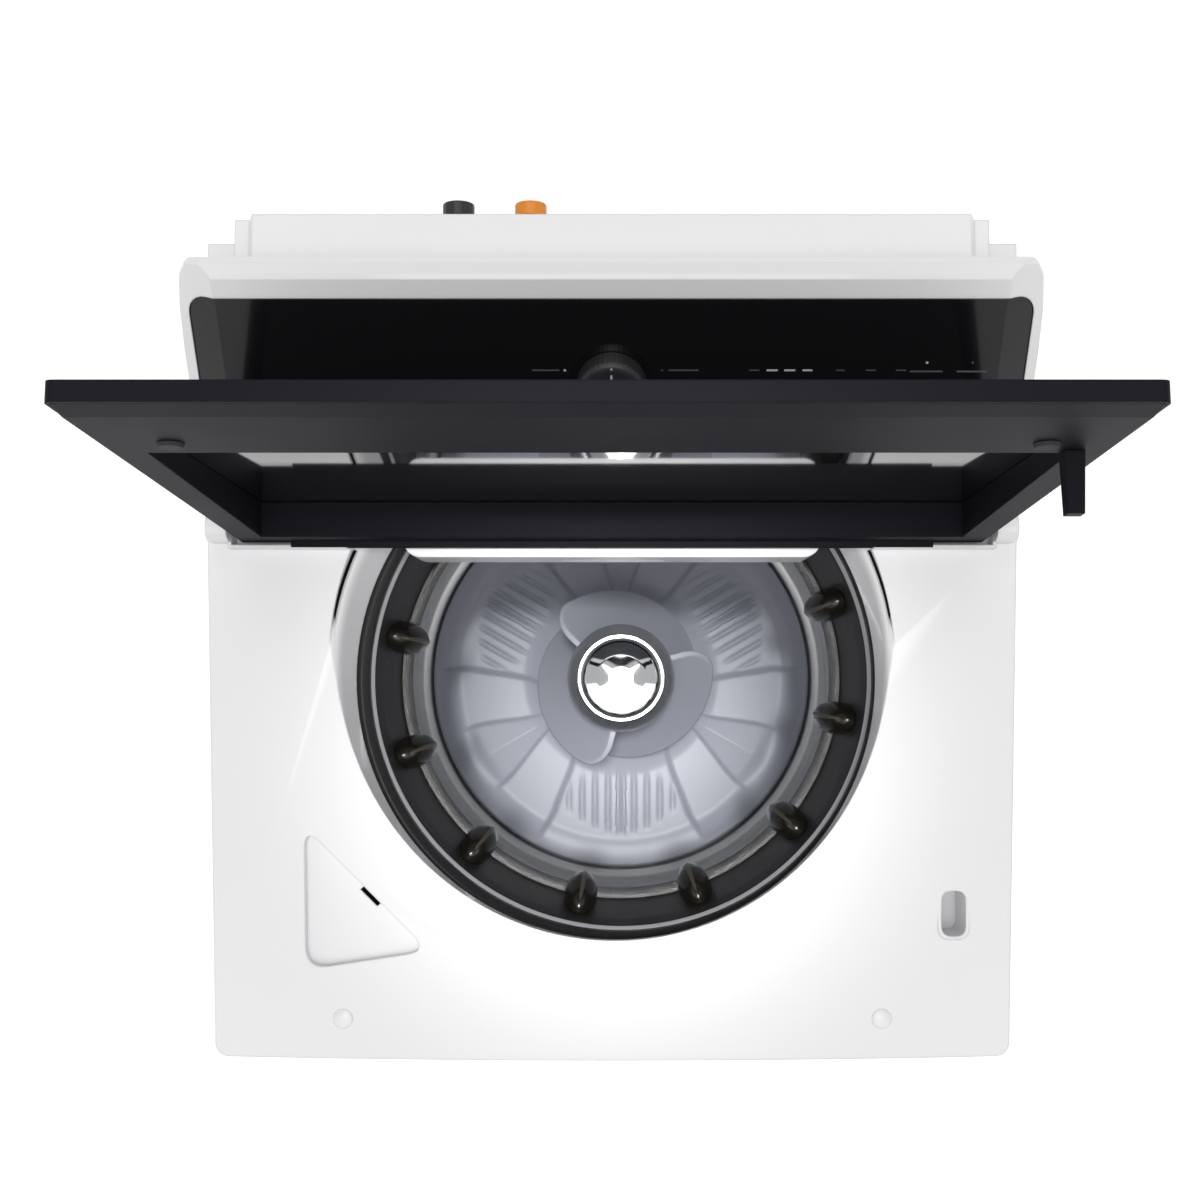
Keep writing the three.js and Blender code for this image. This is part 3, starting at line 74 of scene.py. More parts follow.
# ---------------------------------------------------------------- materials
def finish(name, color, roughness, metallic=0.0, coat=0.0, edge=0.8, grain=0.0, grain_size=400.0,
           mottle=0.0, alpha=1.0, anisotropic=0.0, specular=0.5):
    """A procedural finish: softened edges, fine surface grain and a slight unevenness of colour and gloss."""
    material = bpy.data.materials.new(name)
    material.use_nodes = True
    nodes, links = material.node_tree.nodes, material.node_tree.links
    shader = nodes["Principled BSDF"]
    shader.inputs["Base Color"].default_value = (*color, 1)
    shader.inputs["Roughness"].default_value = roughness
    shader.inputs["Metallic"].default_value = metallic
    shader.inputs["Coat Weight"].default_value = coat
    shader.inputs["Coat Roughness"].default_value = 0.05
    shader.inputs["Alpha"].default_value = alpha
    shader.inputs["Anisotropic"].default_value = anisotropic
    shader.inputs["Specular IOR Level"].default_value = specular
    place = nodes.new("ShaderNodeTexCoord")
    cloud = nodes.new("ShaderNodeTexNoise")
    cloud.inputs["Scale"].default_value = 7
    cloud.inputs["Detail"].default_value = 3
    links.new(place.outputs["Object"], cloud.inputs["Vector"])
    gloss = nodes.new("ShaderNodeMapRange")
    gloss.inputs["To Min"].default_value = roughness * 0.92
    gloss.inputs["To Max"].default_value = min(roughness * 1.12 + 0.01, 1)
    links.new(cloud.outputs["Fac"], gloss.inputs["Value"])
    links.new(gloss.outputs["Result"], shader.inputs["Roughness"])
    if mottle:
        tint = nodes.new("ShaderNodeMix")
        tint.data_type = "RGBA"
        tint.inputs["A"].default_value = (*[c * (1 - mottle) for c in color], 1)
        tint.inputs["B"].default_value = (*[min(c * (1 + mottle), 1) for c in color], 1)
        links.new(cloud.outputs["Fac"], tint.inputs["Factor"])
        links.new(tint.outputs["Result"], shader.inputs["Base Color"])
    bevel = nodes.new("ShaderNodeBevel")
    bevel.samples = 4
    bevel.inputs["Radius"].default_value = edge * MM
    last = bevel
    if grain:
        speck = nodes.new("ShaderNodeTexNoise")
        speck.inputs["Scale"].default_value = grain_size
        speck.inputs["Detail"].default_value = 2
        links.new(place.outputs["Object"], speck.inputs["Vector"])
        bump = nodes.new("ShaderNodeBump")
        bump.inputs["Strength"].default_value = grain
        bump.inputs["Distance"].default_value = 0.3 * MM
        links.new(speck.outputs["Fac"], bump.inputs["Height"])
        links.new(bevel.outputs["Normal"], bump.inputs["Normal"])
        last = bump
    links.new(last.outputs["Normal"], shader.inputs["Normal"])
    return material


FINISHES = {
    "white_plastic": finish("white_plastic", (0.82, 0.82, 0.825), 0.32, edge=2.0, grain=0.03, coat=0.25),
    "white_steel": finish("white_steel", (0.79, 0.79, 0.80), 0.35, edge=1.5, grain=0.08, grain_size=900,
                          coat=0.2),
    "zinc": finish("zinc", (0.55, 0.56, 0.57), 0.42, metallic=0.9, edge=0.7, grain=0.12, mottle=0.12),
    "black_rubber": finish("black_rubber", (0.02, 0.02, 0.022), 0.75, edge=0.8, grain=0.25, grain_size=700),
    "dark_plastic": finish("dark_plastic", (0.022, 0.020, 0.022), 0.4, edge=1.0, grain=0.06, grain_size=900),
    "gloss_black": finish("gloss_black", (0.004, 0.004, 0.005), 0.12, edge=1.2, coat=0.6),
    "board": finish("board", (0.02, 0.09, 0.045), 0.5, edge=0.4, mottle=0.2),
    "tub_plastic": finish("tub_plastic", (0.5, 0.52, 0.54), 0.5, edge=1.5, grain=0.1),
    "orange_plastic": finish("orange_plastic", (0.75, 0.25, 0.02), 0.4, edge=1.0, grain=0.08),
    "navy_plastic": finish("navy_plastic", (0.0075, 0.0070, 0.0110), 0.55, edge=1.6, grain=0.08,
                           grain_size=800, specular=0.1),
    "dark_glass": finish("dark_glass", (0.006, 0.006, 0.008), 0.03, edge=0.6, coat=0.4),
    "steel": finish("steel", (0.95, 0.95, 0.945), 0.24, metallic=0.3, edge=0.5, anisotropic=0.6),
    "scoop_plastic": finish("scoop_plastic", (0.013, 0.011, 0.008), 0.22, edge=0.8, coat=0.3),
    "aluminium": finish("aluminium", (0.6, 0.61, 0.62), 0.5, metallic=0.9, edge=1.0, grain=0.3),
    "plate_grey": finish("plate_grey", (0.40, 0.42, 0.48), 0.4, edge=1.0, grain=0.05, grain_size=900,
                         specular=0.4),
    "chrome": finish("chrome", (0.82, 0.83, 0.85), 0.035, metallic=1.0, edge=0.4),
    "copper": finish("copper", (0.5, 0.2, 0.1), 0.4, metallic=0.6, edge=0.8, grain=0.6, grain_size=300),
}
# the steel is brushed round the drum's axis
steel_nodes = FINISHES["steel"].node_tree
brushed = steel_nodes.nodes.new("ShaderNodeTangent")
brushed.direction_type = "RADIAL"
brushed.axis = "Z"
steel_shader = steel_nodes.nodes["Principled BSDF"]
steel_nodes.links.new(brushed.outputs["Tangent"], steel_shader.inputs["Tangent"])
WHITE_MARK = finish("pale_marks", (0.55, 0.55, 0.56), 0.5, edge=0.1)
DIM_MARK = finish("dim_marks", (0.09, 0.09, 0.095), 0.5, edge=0.1)
# a lighter copy of the dark scoop plastic for the scoops' ridges: a painted highlight
SCOOP_RIDGE_HIGHLIGHT = finish("scoop_ridge_highlight", (0.06, 0.053, 0.04), 0.3, edge=0.6, coat=0.2)
# a light grey copy of the dark plastic for the balance ring's top inner edge: a painted highlight
RING_PAINTED_HIGHLIGHT = finish("ring_painted_highlight", (0.42, 0.42, 0.44), 0.28, edge=0.8)
record = frame["record"]
SLOT_OF = {part["node"]: part["material_slot"] for part in record["subparts"]}
for node, node_object in frame["nodes"].items():
    for material_slot in node_object.material_slots:
        material_slot.material = FINISHES[SLOT_OF[node]]


# ---------------------------------------------------------------- mesh helpers
def made(name, build, smooth=35.0):
    """A mesh object from a bmesh that has been filled in, welded, faced outwards and smoothed."""
    bmesh.ops.remove_doubles(build, verts=build.verts, dist=1e-6)
    bmesh.ops.dissolve_degenerate(build, edges=build.edges, dist=1e-7)
    bmesh.ops.recalc_face_normals(build, faces=build.faces)
    mesh = bpy.data.meshes.new(name)
    build.to_mesh(mesh)
    build.free()
    for face in mesh.polygons:
        face.use_smooth = True
    mesh.set_sharp_from_angle(angle=math.radians(smooth))
    obj = bpy.data.objects.new(name, mesh)
    bpy.context.scene.collection.objects.link(obj)
    return obj


def attach(obj, body, slot, nodes=(), material=None):
    """Gives a piece its finish and its body, and hides the CAD nodes that it stands for."""
    if not obj.data.materials:
        obj.data.materials.append(material or FINISHES[slot])
    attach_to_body(obj, body)
    if nodes:
        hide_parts(*nodes)
    return obj


def softened(points, radius, closed=True, steps=4):
    """A polyline with each corner replaced by a small curve."""
    result = []
    count = len(points)
    for i, point in enumerate(points):
        if not closed and i in (0, count - 1):
            result.append(tuple(point))
            continue
        here = Vector(point)
        before = Vector(points[i - 1]) - here
        after = Vector(points[(i + 1) % count]) - here
        reach = min(radius, before.length * 0.45, after.length * 0.45)
        start = here + before.normalized() * reach
        end = here + after.normalized() * reach
        for k in range(steps + 1):
            t = k / steps
            result.append(tuple(start * (1 - t) ** 2 + here * 2 * t * (1 - t) + end * t ** 2))
    return result


def circle(build, centre, radius, height, sides):
    """A level circle of vertices: its centre in metres, its radius and height in millimetres."""
    vertices = []
    for i in range(sides):
        angle = 2 * math.pi * i / sides
        vertices.append(build.verts.new((centre[0] + radius * MM * math.cos(angle),
                                         centre[1] + radius * MM * math.sin(angle), height * MM)))
    return vertices


def skin(build, rows):
    """Faces between neighbouring closed rows of vertices."""
    for a, b in zip(rows, rows[1:]):
        for i in range(len(a)):
            n = (i + 1) % len(a)
            build.faces.new((a[i], a[n], b[n], b[i]))


def turned(name, profile, centre=(0.0, 0.0), sides=FINE, soft=0.0, smooth=35.0, bands=None):
    """A profile of (radius, height) pairs in millimetres turned round a vertical axis."""
    ring = profile[0][0] > 1e-6
    if soft:
        profile = softened(profile, soft, closed=ring)
    build = bmesh.new()
    circles = [circle(build, centre, radius, height, sides) for radius, height in profile]
    pairs = len(circles) if ring else len(circles) - 1
    for j in range(pairs):
        a, b = circles[j], circles[(j + 1) % len(circles)]
        for i in range(sides):
            n = (i + 1) % sides
            face = build.faces.new((a[i], a[n], b[n], b[i]))
            if bands:
                middle = (profile[j][0] + profile[(j + 1) % len(profile)][0]) / 2
                height = (profile[j][1] + profile[(j + 1) % len(profile)][1]) / 2
                face.material_index = bands(middle, height)
    return made(name, build, smooth)


def prism(name, outline, low, high, axes="xyz"):
    """A closed outline in two axes drawn out along the third, between two values, in millimetres."""
    build = bmesh.new()
    order = [axes.index(a) for a in "xyz"]

    def vertex(a, b, c):
        values = (a, b, c)
        return build.verts.new([values[i] * MM for i in order])

    ends = [[vertex(a, b, level) for a, b in outline] for level in (low, high)]
    build.faces.new(ends[0])
    build.faces.new(list(reversed(ends[1])))
    for i in range(len(outline)):
        n = (i + 1) % len(outline)
        build.faces.new((ends[0][i], ends[0][n], ends[1][n], ends[1][i]))
    return made(name, build)


def block(name, low, high):
    """A box between two corners in millimetres, as an outline drawn upwards."""
    corners = [(low[0], low[1]), (high[0], low[1]), (high[0], high[1]), (low[0], high[1])]
    return prism(name, corners, low[2], high[2])


def combine(base, other, operation):
    """Joins another mesh to the base, or cuts it out, and throws the other away."""
    modifier = base.modifiers.new("combine", "BOOLEAN")
    modifier.operation = operation
    modifier.solver = "EXACT"
    modifier.object = other
    bpy.context.view_layer.update()
    result = bpy.data.meshes.new_from_object(base.evaluated_get(bpy.context.evaluated_depsgraph_get()))
    base.modifiers.clear()
    base.data = result
    bpy.data.objects.remove(other)
    return base


def resmooth(obj, angle=35.0):
    for face in obj.data.polygons:
        face.use_smooth = True
    obj.data.set_sharp_from_angle(angle=math.radians(angle))
    return obj


def arc(cx, cy, radius, start, end, steps):
    """Points along an arc between two angles in degrees."""
    angles = [math.radians(start + (end - start) * k / steps) for k in range(steps + 1)]
    return [(cx + radius * math.cos(angle), cy + radius * math.sin(angle)) for angle in angles]


# ---------------------------------------------------------------- places taken from the frame
def low_high(node):
    low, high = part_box(node)
    return low / MM, high / MM


deck_low, deck_high = low_high("deck")
cover_low, cover_high = low_high("tub_cover")
DRUM = ((cover_low.x + cover_high.x) / 2 * MM, (cover_low.y + cover_high.y) / 2 * MM)
HALF_WIDTH = deck_high.x
FRONT = deck_low.y
BACK = deck_high.y
DECK_BOTTOM = deck_low.z
TROUGH = low_high("lid_shell")[1].x + 5.5  # half the width of the trough that the lid turns in
BLEACH_SLOT = [(-217.6, -212.6), (-214.7, -209.8), (-200.4, -224.4), (-203.3, -227.2)]


def deck_height(y):
    """The deck's sloping plane, in millimetres."""
    return 979.5 + 0.109 * y


# ---------------------------------------------------------------- deck
def plan_outline(inset, back):
    """Plan of the machine: rounded front corners and a gently bowed front."""
    half = HALF_WIDTH - inset
    radius = max(12 - inset, 1)
    corner = FRONT + 4 + inset
    points = [(-half, back)]
    points += arc(-half + radius, corner + radius, radius, 180, 270, 8)
    for k in range(1, 24):
        x = -half + radius + 2 * (half - radius) * k / 24
        points.append((x, corner - 4 * (1 - (x / (half - radius)) ** 2)))
    points += arc(half - radius, corner + radius, radius, 270, 360, 8)
    points.append((half, back))
    return points


def deck_side(wall):
    """Side view of the deck, offset inwards by a wall."""
    front = FRONT - 5 + wall
    bottom = DECK_BOTTOM - (10 if wall else 0)
    nose = softened([
        (front, deck_height(FRONT) - 22 - wall), (front + 0.01, deck_height(FRONT) - wall),
        (FRONT + 22, deck_height(FRONT + 22) - wall)], 13, closed=False, steps=8)
    return [(front, bottom), *nose, (131, deck_height(131) - wall), (133, 1000 - wall),
            (BACK - wall, 1000 - wall), (BACK - wall, bottom)]


def layer(name, low, high):
    """The space between two distances from the deck plane."""
    return prism(name, [(FRONT - 20, deck_height(FRONT - 20) + low), (131, deck_height(131) + low),
                        (131, deck_height(131) + high), (FRONT - 20, deck_height(FRONT - 20) + high)],
                 -HALF_WIDTH, HALF_WIDTH, "yzx")


def funnel(name, profile, back):
    """A turned shape between the deck opening and the tub, leaning with the opening, cut off at the back."""
    obj = turned(name, profile, sides=FINE)
    top, bottom = 977.5, 938.0
    for vertex in obj.data.vertices:
        k = (vertex.co.z / MM - bottom) / (top - bottom)
        vertex.co.x += (3.0 + (0.0 - 3.0) * k) * MM
        vertex.co.y += (-30.0 + 10.0 * k) * MM
    return combine(obj, block("cutoff", (-400, FRONT - 9, 880), (400, back, 1100)), "INTERSECT")


def build_deck():
    outer = prism("deck_top", deck_side(0), -HALF_WIDTH, HALF_WIDTH, "yzx")
    combine(outer, prism("plan", plan_outline(0, BACK), 890, 1010), "INTERSECT")
    inner = prism("inner", deck_side(3), -HALF_WIDTH, HALF_WIDTH, "yzx")
    combine(inner, prism("plan", plan_outline(3, BACK - 3), 890, 1010), "INTERSECT")
    combine(outer, inner, "DIFFERENCE")
    # throat: a skirt that hangs from the opening, joined to the top by a rolled lip
    skirt = funnel("skirt", [(227, 938), (231, 938), (238, 977), (244, 985), (234, 985)], 89)
    combine(skirt, layer("under", -80, -1), "INTERSECT")
    combine(outer, skirt, "UNION")
    combine(outer, block("tray", (-TROUGH - 3, 79, 977), (TROUGH + 3, 134, 999)), "UNION")
    corners = [(-264, -157), (-264, -281), (-158, -265)]
    well = softened(corners, 20, steps=6)
    grown = softened([(-268.5, -147), (-268.5, -286), (-148, -268)], 24, steps=6)
    well_tray = prism("well_tray", grown, 900, 1000)
    combine(well_tray, layer("slab", -11, -1), "INTERSECT")
    combine(outer, well_tray, "UNION")
    sleeve_plan = softened([(280, -254.8), (307, -254.8), (307, -209.8), (280, -209.8)], 11, steps=6)
    sleeve = prism("sleeve", sleeve_plan, 909, 954)
    combine(outer, sleeve, "UNION")
    for side in (-1, 1):
        x0, x1 = sorted((side * (TROUGH + 0.5), side * (TROUGH + 18)))
        ear = [(84.4, 981), (108.4, 981), *arc(96.4, 1005, 12, 0, 180, 16)]
        combine(outer, prism("ear", ear, x0, x1, "yzx"), "UNION")
    # cuts
    mouth = funnel("mouth", [(0, 930), (226.4, 930), (227, 938), (232.2, 968), (233.4, 972.5), (235.5, 976),
                             (239, 978.6), (241, 979.0), (241, 1000), (0, 1000)], 85)
    combine(outer, mouth, "DIFFERENCE")
    combine(outer, block("trough", (-TROUGH, 82, 980), (TROUGH, 131, 1040)), "DIFFERENCE")
    combine(outer, block("bay", (-177.3, 52.5, 900), (177.3, 245.3, 1005)), "DIFFERENCE")
    hollow = prism("well", well, 900, 1005)
    combine(hollow, layer("slab", -8, 40), "INTERSECT")
    combine(outer, hollow, "DIFFERENCE")
    combine(outer, prism("slot", BLEACH_SLOT, 930, 955), "DIFFERENCE")
    hook_plan = softened([(283, -251.8), (304, -251.8), (304, -212.8), (283, -212.8)], 9, steps=6)
    combine(outer, prism("hook_hole", hook_plan, 912, 1000), "DIFFERENCE")
    combine(outer, block("latch_window", (288, -214.8, 924), (299, -207.8, 936)), "DIFFERENCE")
    combine(outer, prism("pin_hole", arc(96.4, 1005, 5.3, 0, 345, 23), -339, 339, "yzx"), "DIFFERENCE")
    combine(outer, prism("hose_hole", arc(-97, 318, 17, 0, 345, 23), 990, 1005), "DIFFERENCE")
    combine(outer, block("wiring", (120, 262, 990), (240, 312, 1005)), "DIFFERENCE")
    resmooth(outer, 28)
    outer.data.materials.clear()
    return attach(outer, "cabinet", "white_plastic", ["deck"], swept_white())


def swept_white():
    """White moulding with the soft swept crease that crosses the deck in front of the opening."""
    material = finish("swept_white", (0.80, 0.80, 0.81), 0.32, edge=2.5, coat=0.25)
    nodes, links = material.node_tree.nodes, material.node_tree.links
    place = nodes.new("ShaderNodeTexCoord")
    split = nodes.new("ShaderNodeSeparateXYZ")
    links.new(place.outputs["Object"], split.inputs["Vector"])

    def math_node(operation, a, b=None):
        node = nodes.new("ShaderNodeMath")
        node.operation = operation
        for socket, value in zip(node.inputs, (a, b)):
            if value is None:
                continue
            if isinstance(value, (int, float)):
                socket.default_value = value
            else:
                links.new(value, socket)
        return node.outputs[0]

    x, y = split.outputs["X"], split.outputs["Y"]
    # the crease is a parabola through its two ends and its lowest point, in metres
    bend = math_node("MULTIPLY", math_node("MULTIPLY", x, x), 1.965)
    lean = math_node("MULTIPLY", x, 0.027)
    line = math_node("ADD", math_node("ADD", bend, lean), -0.295)
    away = math_node("SUBTRACT", y, line)
    ramp = nodes.new("ShaderNodeMapRange")
    ramp.interpolation_type = "SMOOTHERSTEP"
    ramp.inputs["From Min"].default_value = -0.003
    ramp.inputs["From Max"].default_value = 0.016
    links.new(away, ramp.inputs["Value"])
    fade = nodes.new("ShaderNodeMapRange")
    fade.interpolation_type = "SMOOTHSTEP"
    fade.inputs["From Min"].default_value = 0.13
    fade.inputs["From Max"].default_value = 0.25
    fade.inputs["To Min"].default_value = 1
    fade.inputs["To Max"].default_value = 0
    links.new(math_node("ABSOLUTE", x), fade.inputs["Value"])
    height = math_node("MULTIPLY", ramp.outputs["Result"], fade.outputs["Result"])
    bump = nodes.new("ShaderNodeBump")
    bump.inputs["Strength"].default_value = 1.0
    bump.inputs["Distance"].default_value = 1.6 * MM
    links.new(height, bump.inputs["Height"])
    shader = nodes["Principled BSDF"]
    old = shader.inputs["Normal"].links[0].from_socket
    links.new(old, bump.inputs["Normal"])
    links.new(bump.outputs["Normal"], shader.inputs["Normal"])
    return material


build_deck()
PAD_X, PAD_Y = 232.5, -323.6
for place, side in (("left", -1), ("right", 1)):
    level = deck_height(PAD_Y)
    pad_profile = [(0, level - 0.5), (8.6, level - 0.5), (8.6, level + 0.9), (7.4, level + 1.7),
                   (0, level + 1.9)]
    pad = turned(f"deck_pad_{place}", pad_profile, (side * PAD_X * MM, PAD_Y * MM), sides=40)
    attach(pad, "cabinet", "white_plastic")


# ---------------------------------------------------------------- tub cover, balance ring, basket
cover = turned("tub_cover_fine", [
    (226.5, 889), (226.5, 899), (232, 905), (298, 905), (304, 899), (304, 866), (300.3, 866), (300.3, 896.3),
    (231, 896.3), (229.5, 889)], DRUM, soft=1.5)
attach(cover, "tub", "dark_plastic", ["tub_cover"])

RING_FOOT = 795
RING_FOOT_R = 204.6
ring_profile = [
    (RING_FOOT_R, RING_FOOT), (269.6, RING_FOOT), (269.6, 868.3), (272.2, 868.3), (272.2, 885), (229.5, 885),
    (226.0, 884.4), (223.2, 881.5), (219.5, 868), (212, 830)]
# the band 224.5 to 231 mm out and above 880 mm takes the light grey second finish: a painted highlight on the
# ring's top inner edge
ring = turned("balance_ring_fine", softened(ring_profile, 1.2), DRUM,
              bands=lambda r, z: 1 if 224.5 < r < 231 and z > 880 else 0)
ring.data.materials.append(FINISHES["dark_plastic"])
ring.data.materials.append(RING_PAINTED_HIGHLIGHT)
attach(ring, "basket", "dark_plastic", ["balance_ring"])

LAPPED = 268.5  # inside radius of the base where the wall laps over it
base_profile = [
    (22, 226), (245, 226), (247, 228), (247, 260), (257, 262.5), (263, 266), (266.5, 273), (LAPPED, 284),
    (LAPPED, 310), (LAPPED + 1.2, 310), (LAPPED + 1.2, 283.4), (267.7, 272.4), (264.2, 265.4),
    (258.2, 261.9), (248.2, 259.4), (248.2, 226.8), (246.2, 224.8), (22, 224.8)]
base = turned("basket_base_fine", softened(base_profile, 2.0, steps=3), DRUM, sides=240)
attach(base, "basket", "steel", ["basket_base"])


def build_basket_wall():
    """The basket's rolled steel wall, a thin plain cylinder from the base's lap up into the balance ring."""
    build = bmesh.new()
    sides, rows = 240, 110
    low, high = 290.0, 868.0
    heights = [low + (high - low) * j / rows for j in range(rows + 1)]
    inner = [circle(build, DRUM, 270.0, z, sides) for z in heights]
    outer = [circle(build, DRUM, 271.2, z, sides) for z in heights]
    rings = inner + outer[::-1]
    skin(build, rings + rings[:1])
    attach(made("basket_wall_fine", build), "basket", "steel", ["basket_wall"])


build_basket_wall()


def ring_wall(z):
    """Radius of the balance ring's inner wall at a height, in millimetres."""
    return RING_FOOT_R + (223 - RING_FOOT_R) * (z - RING_FOOT) / 90


SCOOPS = 12
SCOOP_DEEP, SCOOP_WIDE, SCOOP_TALL = 21, 15.4, 37.8  # half sizes of one dome


def scoop_point(turn, tilt, local):
    """A point of one scoop: leaned outwards, kept clear of the ring's wall and turned to its place."""
    point = tilt @ Vector(local) + Vector((207, 0, 834))
    point.x = min(point.x, ring_wall(point.z) - 0.3)
    spot = Matrix.Rotation(turn, 3, "Z") @ point
    return DRUM[0] + spot.x * MM, DRUM[1] + spot.y * MM, min(spot.z, 884) * MM


def build_scoops():
    """Twelve dark scoops on a thin band inside the balance ring, each a smooth dome with a rounded ridge."""
    domes, ridges = bmesh.new(), bmesh.new()
    tilt = Euler((0, math.radians(11.5), 0)).to_matrix()
    steps, sides = 20, 40
    for k in range(SCOOPS):
        turn = math.radians(19.5 + 360 / SCOOPS * k)
        rows = []
        for i in range(steps + 1):
            polar = math.pi * i / steps
            rows.append([domes.verts.new(scoop_point(turn, tilt, (
                SCOOP_DEEP * math.sin(polar) * math.cos(2 * math.pi * j / sides),
                SCOOP_WIDE * math.sin(polar) * math.sin(2 * math.pi * j / sides),
                SCOOP_TALL * math.cos(polar)))) for j in range(sides)])
        skin(domes, rows)
        rows = []
        for i in range(25):
            polar = math.pi * (0.12 + 0.76 * i / 24)
            swell = math.sin(math.pi * i / 24) ** 0.5
            section = ((-2.6, -1.5), (-2.0, 0.2), (-1.0, 0.9), (0, 1.15), (1.0, 0.9), (2.0, 0.2), (2.6, -1.5))
            rows.append([ridges.verts.new(scoop_point(turn, tilt, (
                -(SCOOP_DEEP + 0.5 * lift * swell) * math.sin(polar), side * swell,
                SCOOP_TALL * math.cos(polar))))
                for side, lift in section])
        skin(ridges, rows)
        ridges.faces.new(rows[0])
        ridges.faces.new(list(reversed(rows[-1])))
    attach(made("scoops_fine", domes, 60), "basket", "scoop_plastic", ["scoop_ring"])
    # the ridges are drawn in the lighter copy of the scoop plastic, a painted highlight
    attach(made("scoop_ridges", ridges, 60), "basket", "scoop_plastic", material=SCOOP_RIDGE_HIGHLIGHT)
    band = turned("scoop_band", [(200.3, 797), (204.7, 797.2), (208.3, 814.8), (205.3, 815)], DRUM)
    attach(band, "basket", "scoop_plastic")


build_scoops()


# ---------------------------------------------------------------- wash plate
def smooth_step(a, b, x):
    t = min(max((x - a) / (b - a), 0.0), 1.0)
    return t * t * (3 - 2 * t)


def plate_height(radius, angle):
    """Height of the wash plate's top: three ribbed fans, and a creased petal between each two."""
    base = 254.5
    hub = 32.5 * (1 - smooth_step(62, 128, radius))
    rim = 10 * smooth_step(205, 240, radius) - 3.0 * smooth_step(240, 243, radius)
    height = base + hub + rim
    for k in range(3):
        along = math.radians(270 + 120 * k)
        turn = (angle - along + math.pi) % (2 * math.pi) - math.pi
        if abs(turn) > math.radians(62):
            continue
        across = radius * math.sin(turn)
        out = radius * math.cos(turn)
        # the fan's bell-shaped edge
        half = 92 - 34 * (1 - smooth_step(80, 205, out))
        half += 20 * smooth_step(170, 225, out)
        inside = 1 - smooth_step(half - 5, half + 5, abs(across))
        height += 7.0 * inside * smooth_step(70, 110, radius) * (1 - smooth_step(212, 240, radius))
        groove = abs((across + 8.4) % 16.8 - 8.4)
        if abs(across) < 6:
            groove = abs(abs(across) - 4.0)
        near_end = 118 + 0.16 * abs(across) + 9 * smooth_step(30, 75, abs(across))
        far_end = 208 - 0.16 * abs(across) - 0.0016 * across * across
        lengthwise = smooth_step(near_end - 12, near_end + 22, out)
        lengthwise *= 1 - smooth_step(far_end - 16, far_end, radius)
        width = 1 - smooth_step(0.6, 4.4, groove)
        if abs(across) < 74:
            height -= 3.0 * width * lengthwise * (1 - 0.5 * smooth_step(40, 74, abs(across)))
    for k in range(3):
        along = math.radians(90 + 120 * k)
        turn = (angle - along + math.pi) % (2 * math.pi) - math.pi
        if abs(turn) > math.radians(40):
            continue
        across = radius * math.sin(turn)
        out = radius * math.cos(turn)
        half = 9 + 34 * smooth_step(95, 215, out)
        inside = 1 - smooth_step(half - 3, half + 3, abs(across))
        crease = 1.0 - abs(across) / (half + 4)
        ends = smooth_step(88, 120, radius) * (1 - smooth_step(195, 226, radius))
        height += (3.0 + 5.0 * max(crease, 0)) * inside * ends
    return height


def build_plate():
    build = bmesh.new()
    sides = 600
    radii = [12.5, 40, 56, 62] + [66 + 2.2 * i for i in range(76)] + [234, 236, 238, 240, 241.2, 242, 242.6]
    rows = []
    for radius in radii:
        row = []
        for i in range(sides):
            angle = 2 * math.pi * i / sides
            z = min(plate_height(radius, angle), 286.9)
            row.append(build.verts.new((DRUM[0] + radius * MM * math.cos(angle),
                                        DRUM[1] + radius * MM * math.sin(angle), z * MM)))
        rows.append(row)
    for radius, z in ((243, 258), (242, 232), (238, 232), (232, 250), (24, 250), (24, 229), (12.5, 229)):
        rows.append(circle(build, DRUM, radius, z, sides))
    skin(build, rows + rows[:1])
    plate = made("wash_plate_fine", build, 40)
    attach(plate, "agitator", "plate_grey", ["wash_plate"])


build_plate()


# ---------------------------------------------------------------- agitator post, vanes and cap
def build_post():
    outside = [(64, 287.3), (70, 287.3), (62, 298), (50, 330), (46, 400), (46, 500), (50, 560), (56, 590),
               (0, 590)]
    bore = [(0, 585), (51, 585), (42, 500), (46, 330)]
    post = turned("agitator_post_fine", softened(outside, 6, closed=False, steps=6) + bore, DRUM, sides=120)
    attach(post, "agitator", "plate_grey", ["agitator_post"])
    build = bmesh.new()
    steps = 90
    section = 10
    for k in range(3):
        previous = None
        for i in range(steps + 1):
            s = i / steps
            turn = math.radians(262 + 120 * k - 130 * s)
            z = 572 - 272 * s
            open_out = math.sqrt(max(1 - (1 - min(s / 0.13, 1)) ** 2, 0))
            reach = 47 + (105.5 - 47) * (0.25 + 0.75 * open_out) - 8 * s
            thick = 3.0
            loop = []
            # a slab section with a rolled outer edge: inner end sunk in the post
            outline = [(43, thick), (reach - 4, thick)]
            for q in range(1, section):
                roll = math.pi * q / section
                outline.append((reach - 4 + 4 * math.sin(roll), thick * math.cos(roll)))
            outline += [(reach - 4, -thick), (43, -thick)]
            for r, side in outline:
                # the slab stands square to the helix: its thickness points along the turn
                angle = turn + side / max(r, 1)
                loop.append(build.verts.new((DRUM[0] + r * MM * math.cos(angle),
                                             DRUM[1] + r * MM * math.sin(angle), z * MM)))
            if previous:
                for a in range(len(loop)):
                    b = (a + 1) % len(loop)
                    build.faces.new((previous[a], previous[b], loop[b], loop[a]))
            else:
                build.faces.new(loop)
            previous = loop
        build.faces.new(list(reversed(previous)))
    vanes = made("agitator_vanes", build, 40)
    bevel = vanes.modifiers.new("edges", "BEVEL")
    bevel.width = 2.2 * MM
    bevel.segments = 3
    bevel.limit_method = "ANGLE"
    bevel.angle_limit = math.radians(50)
    attach(vanes, "agitator", "plate_grey")


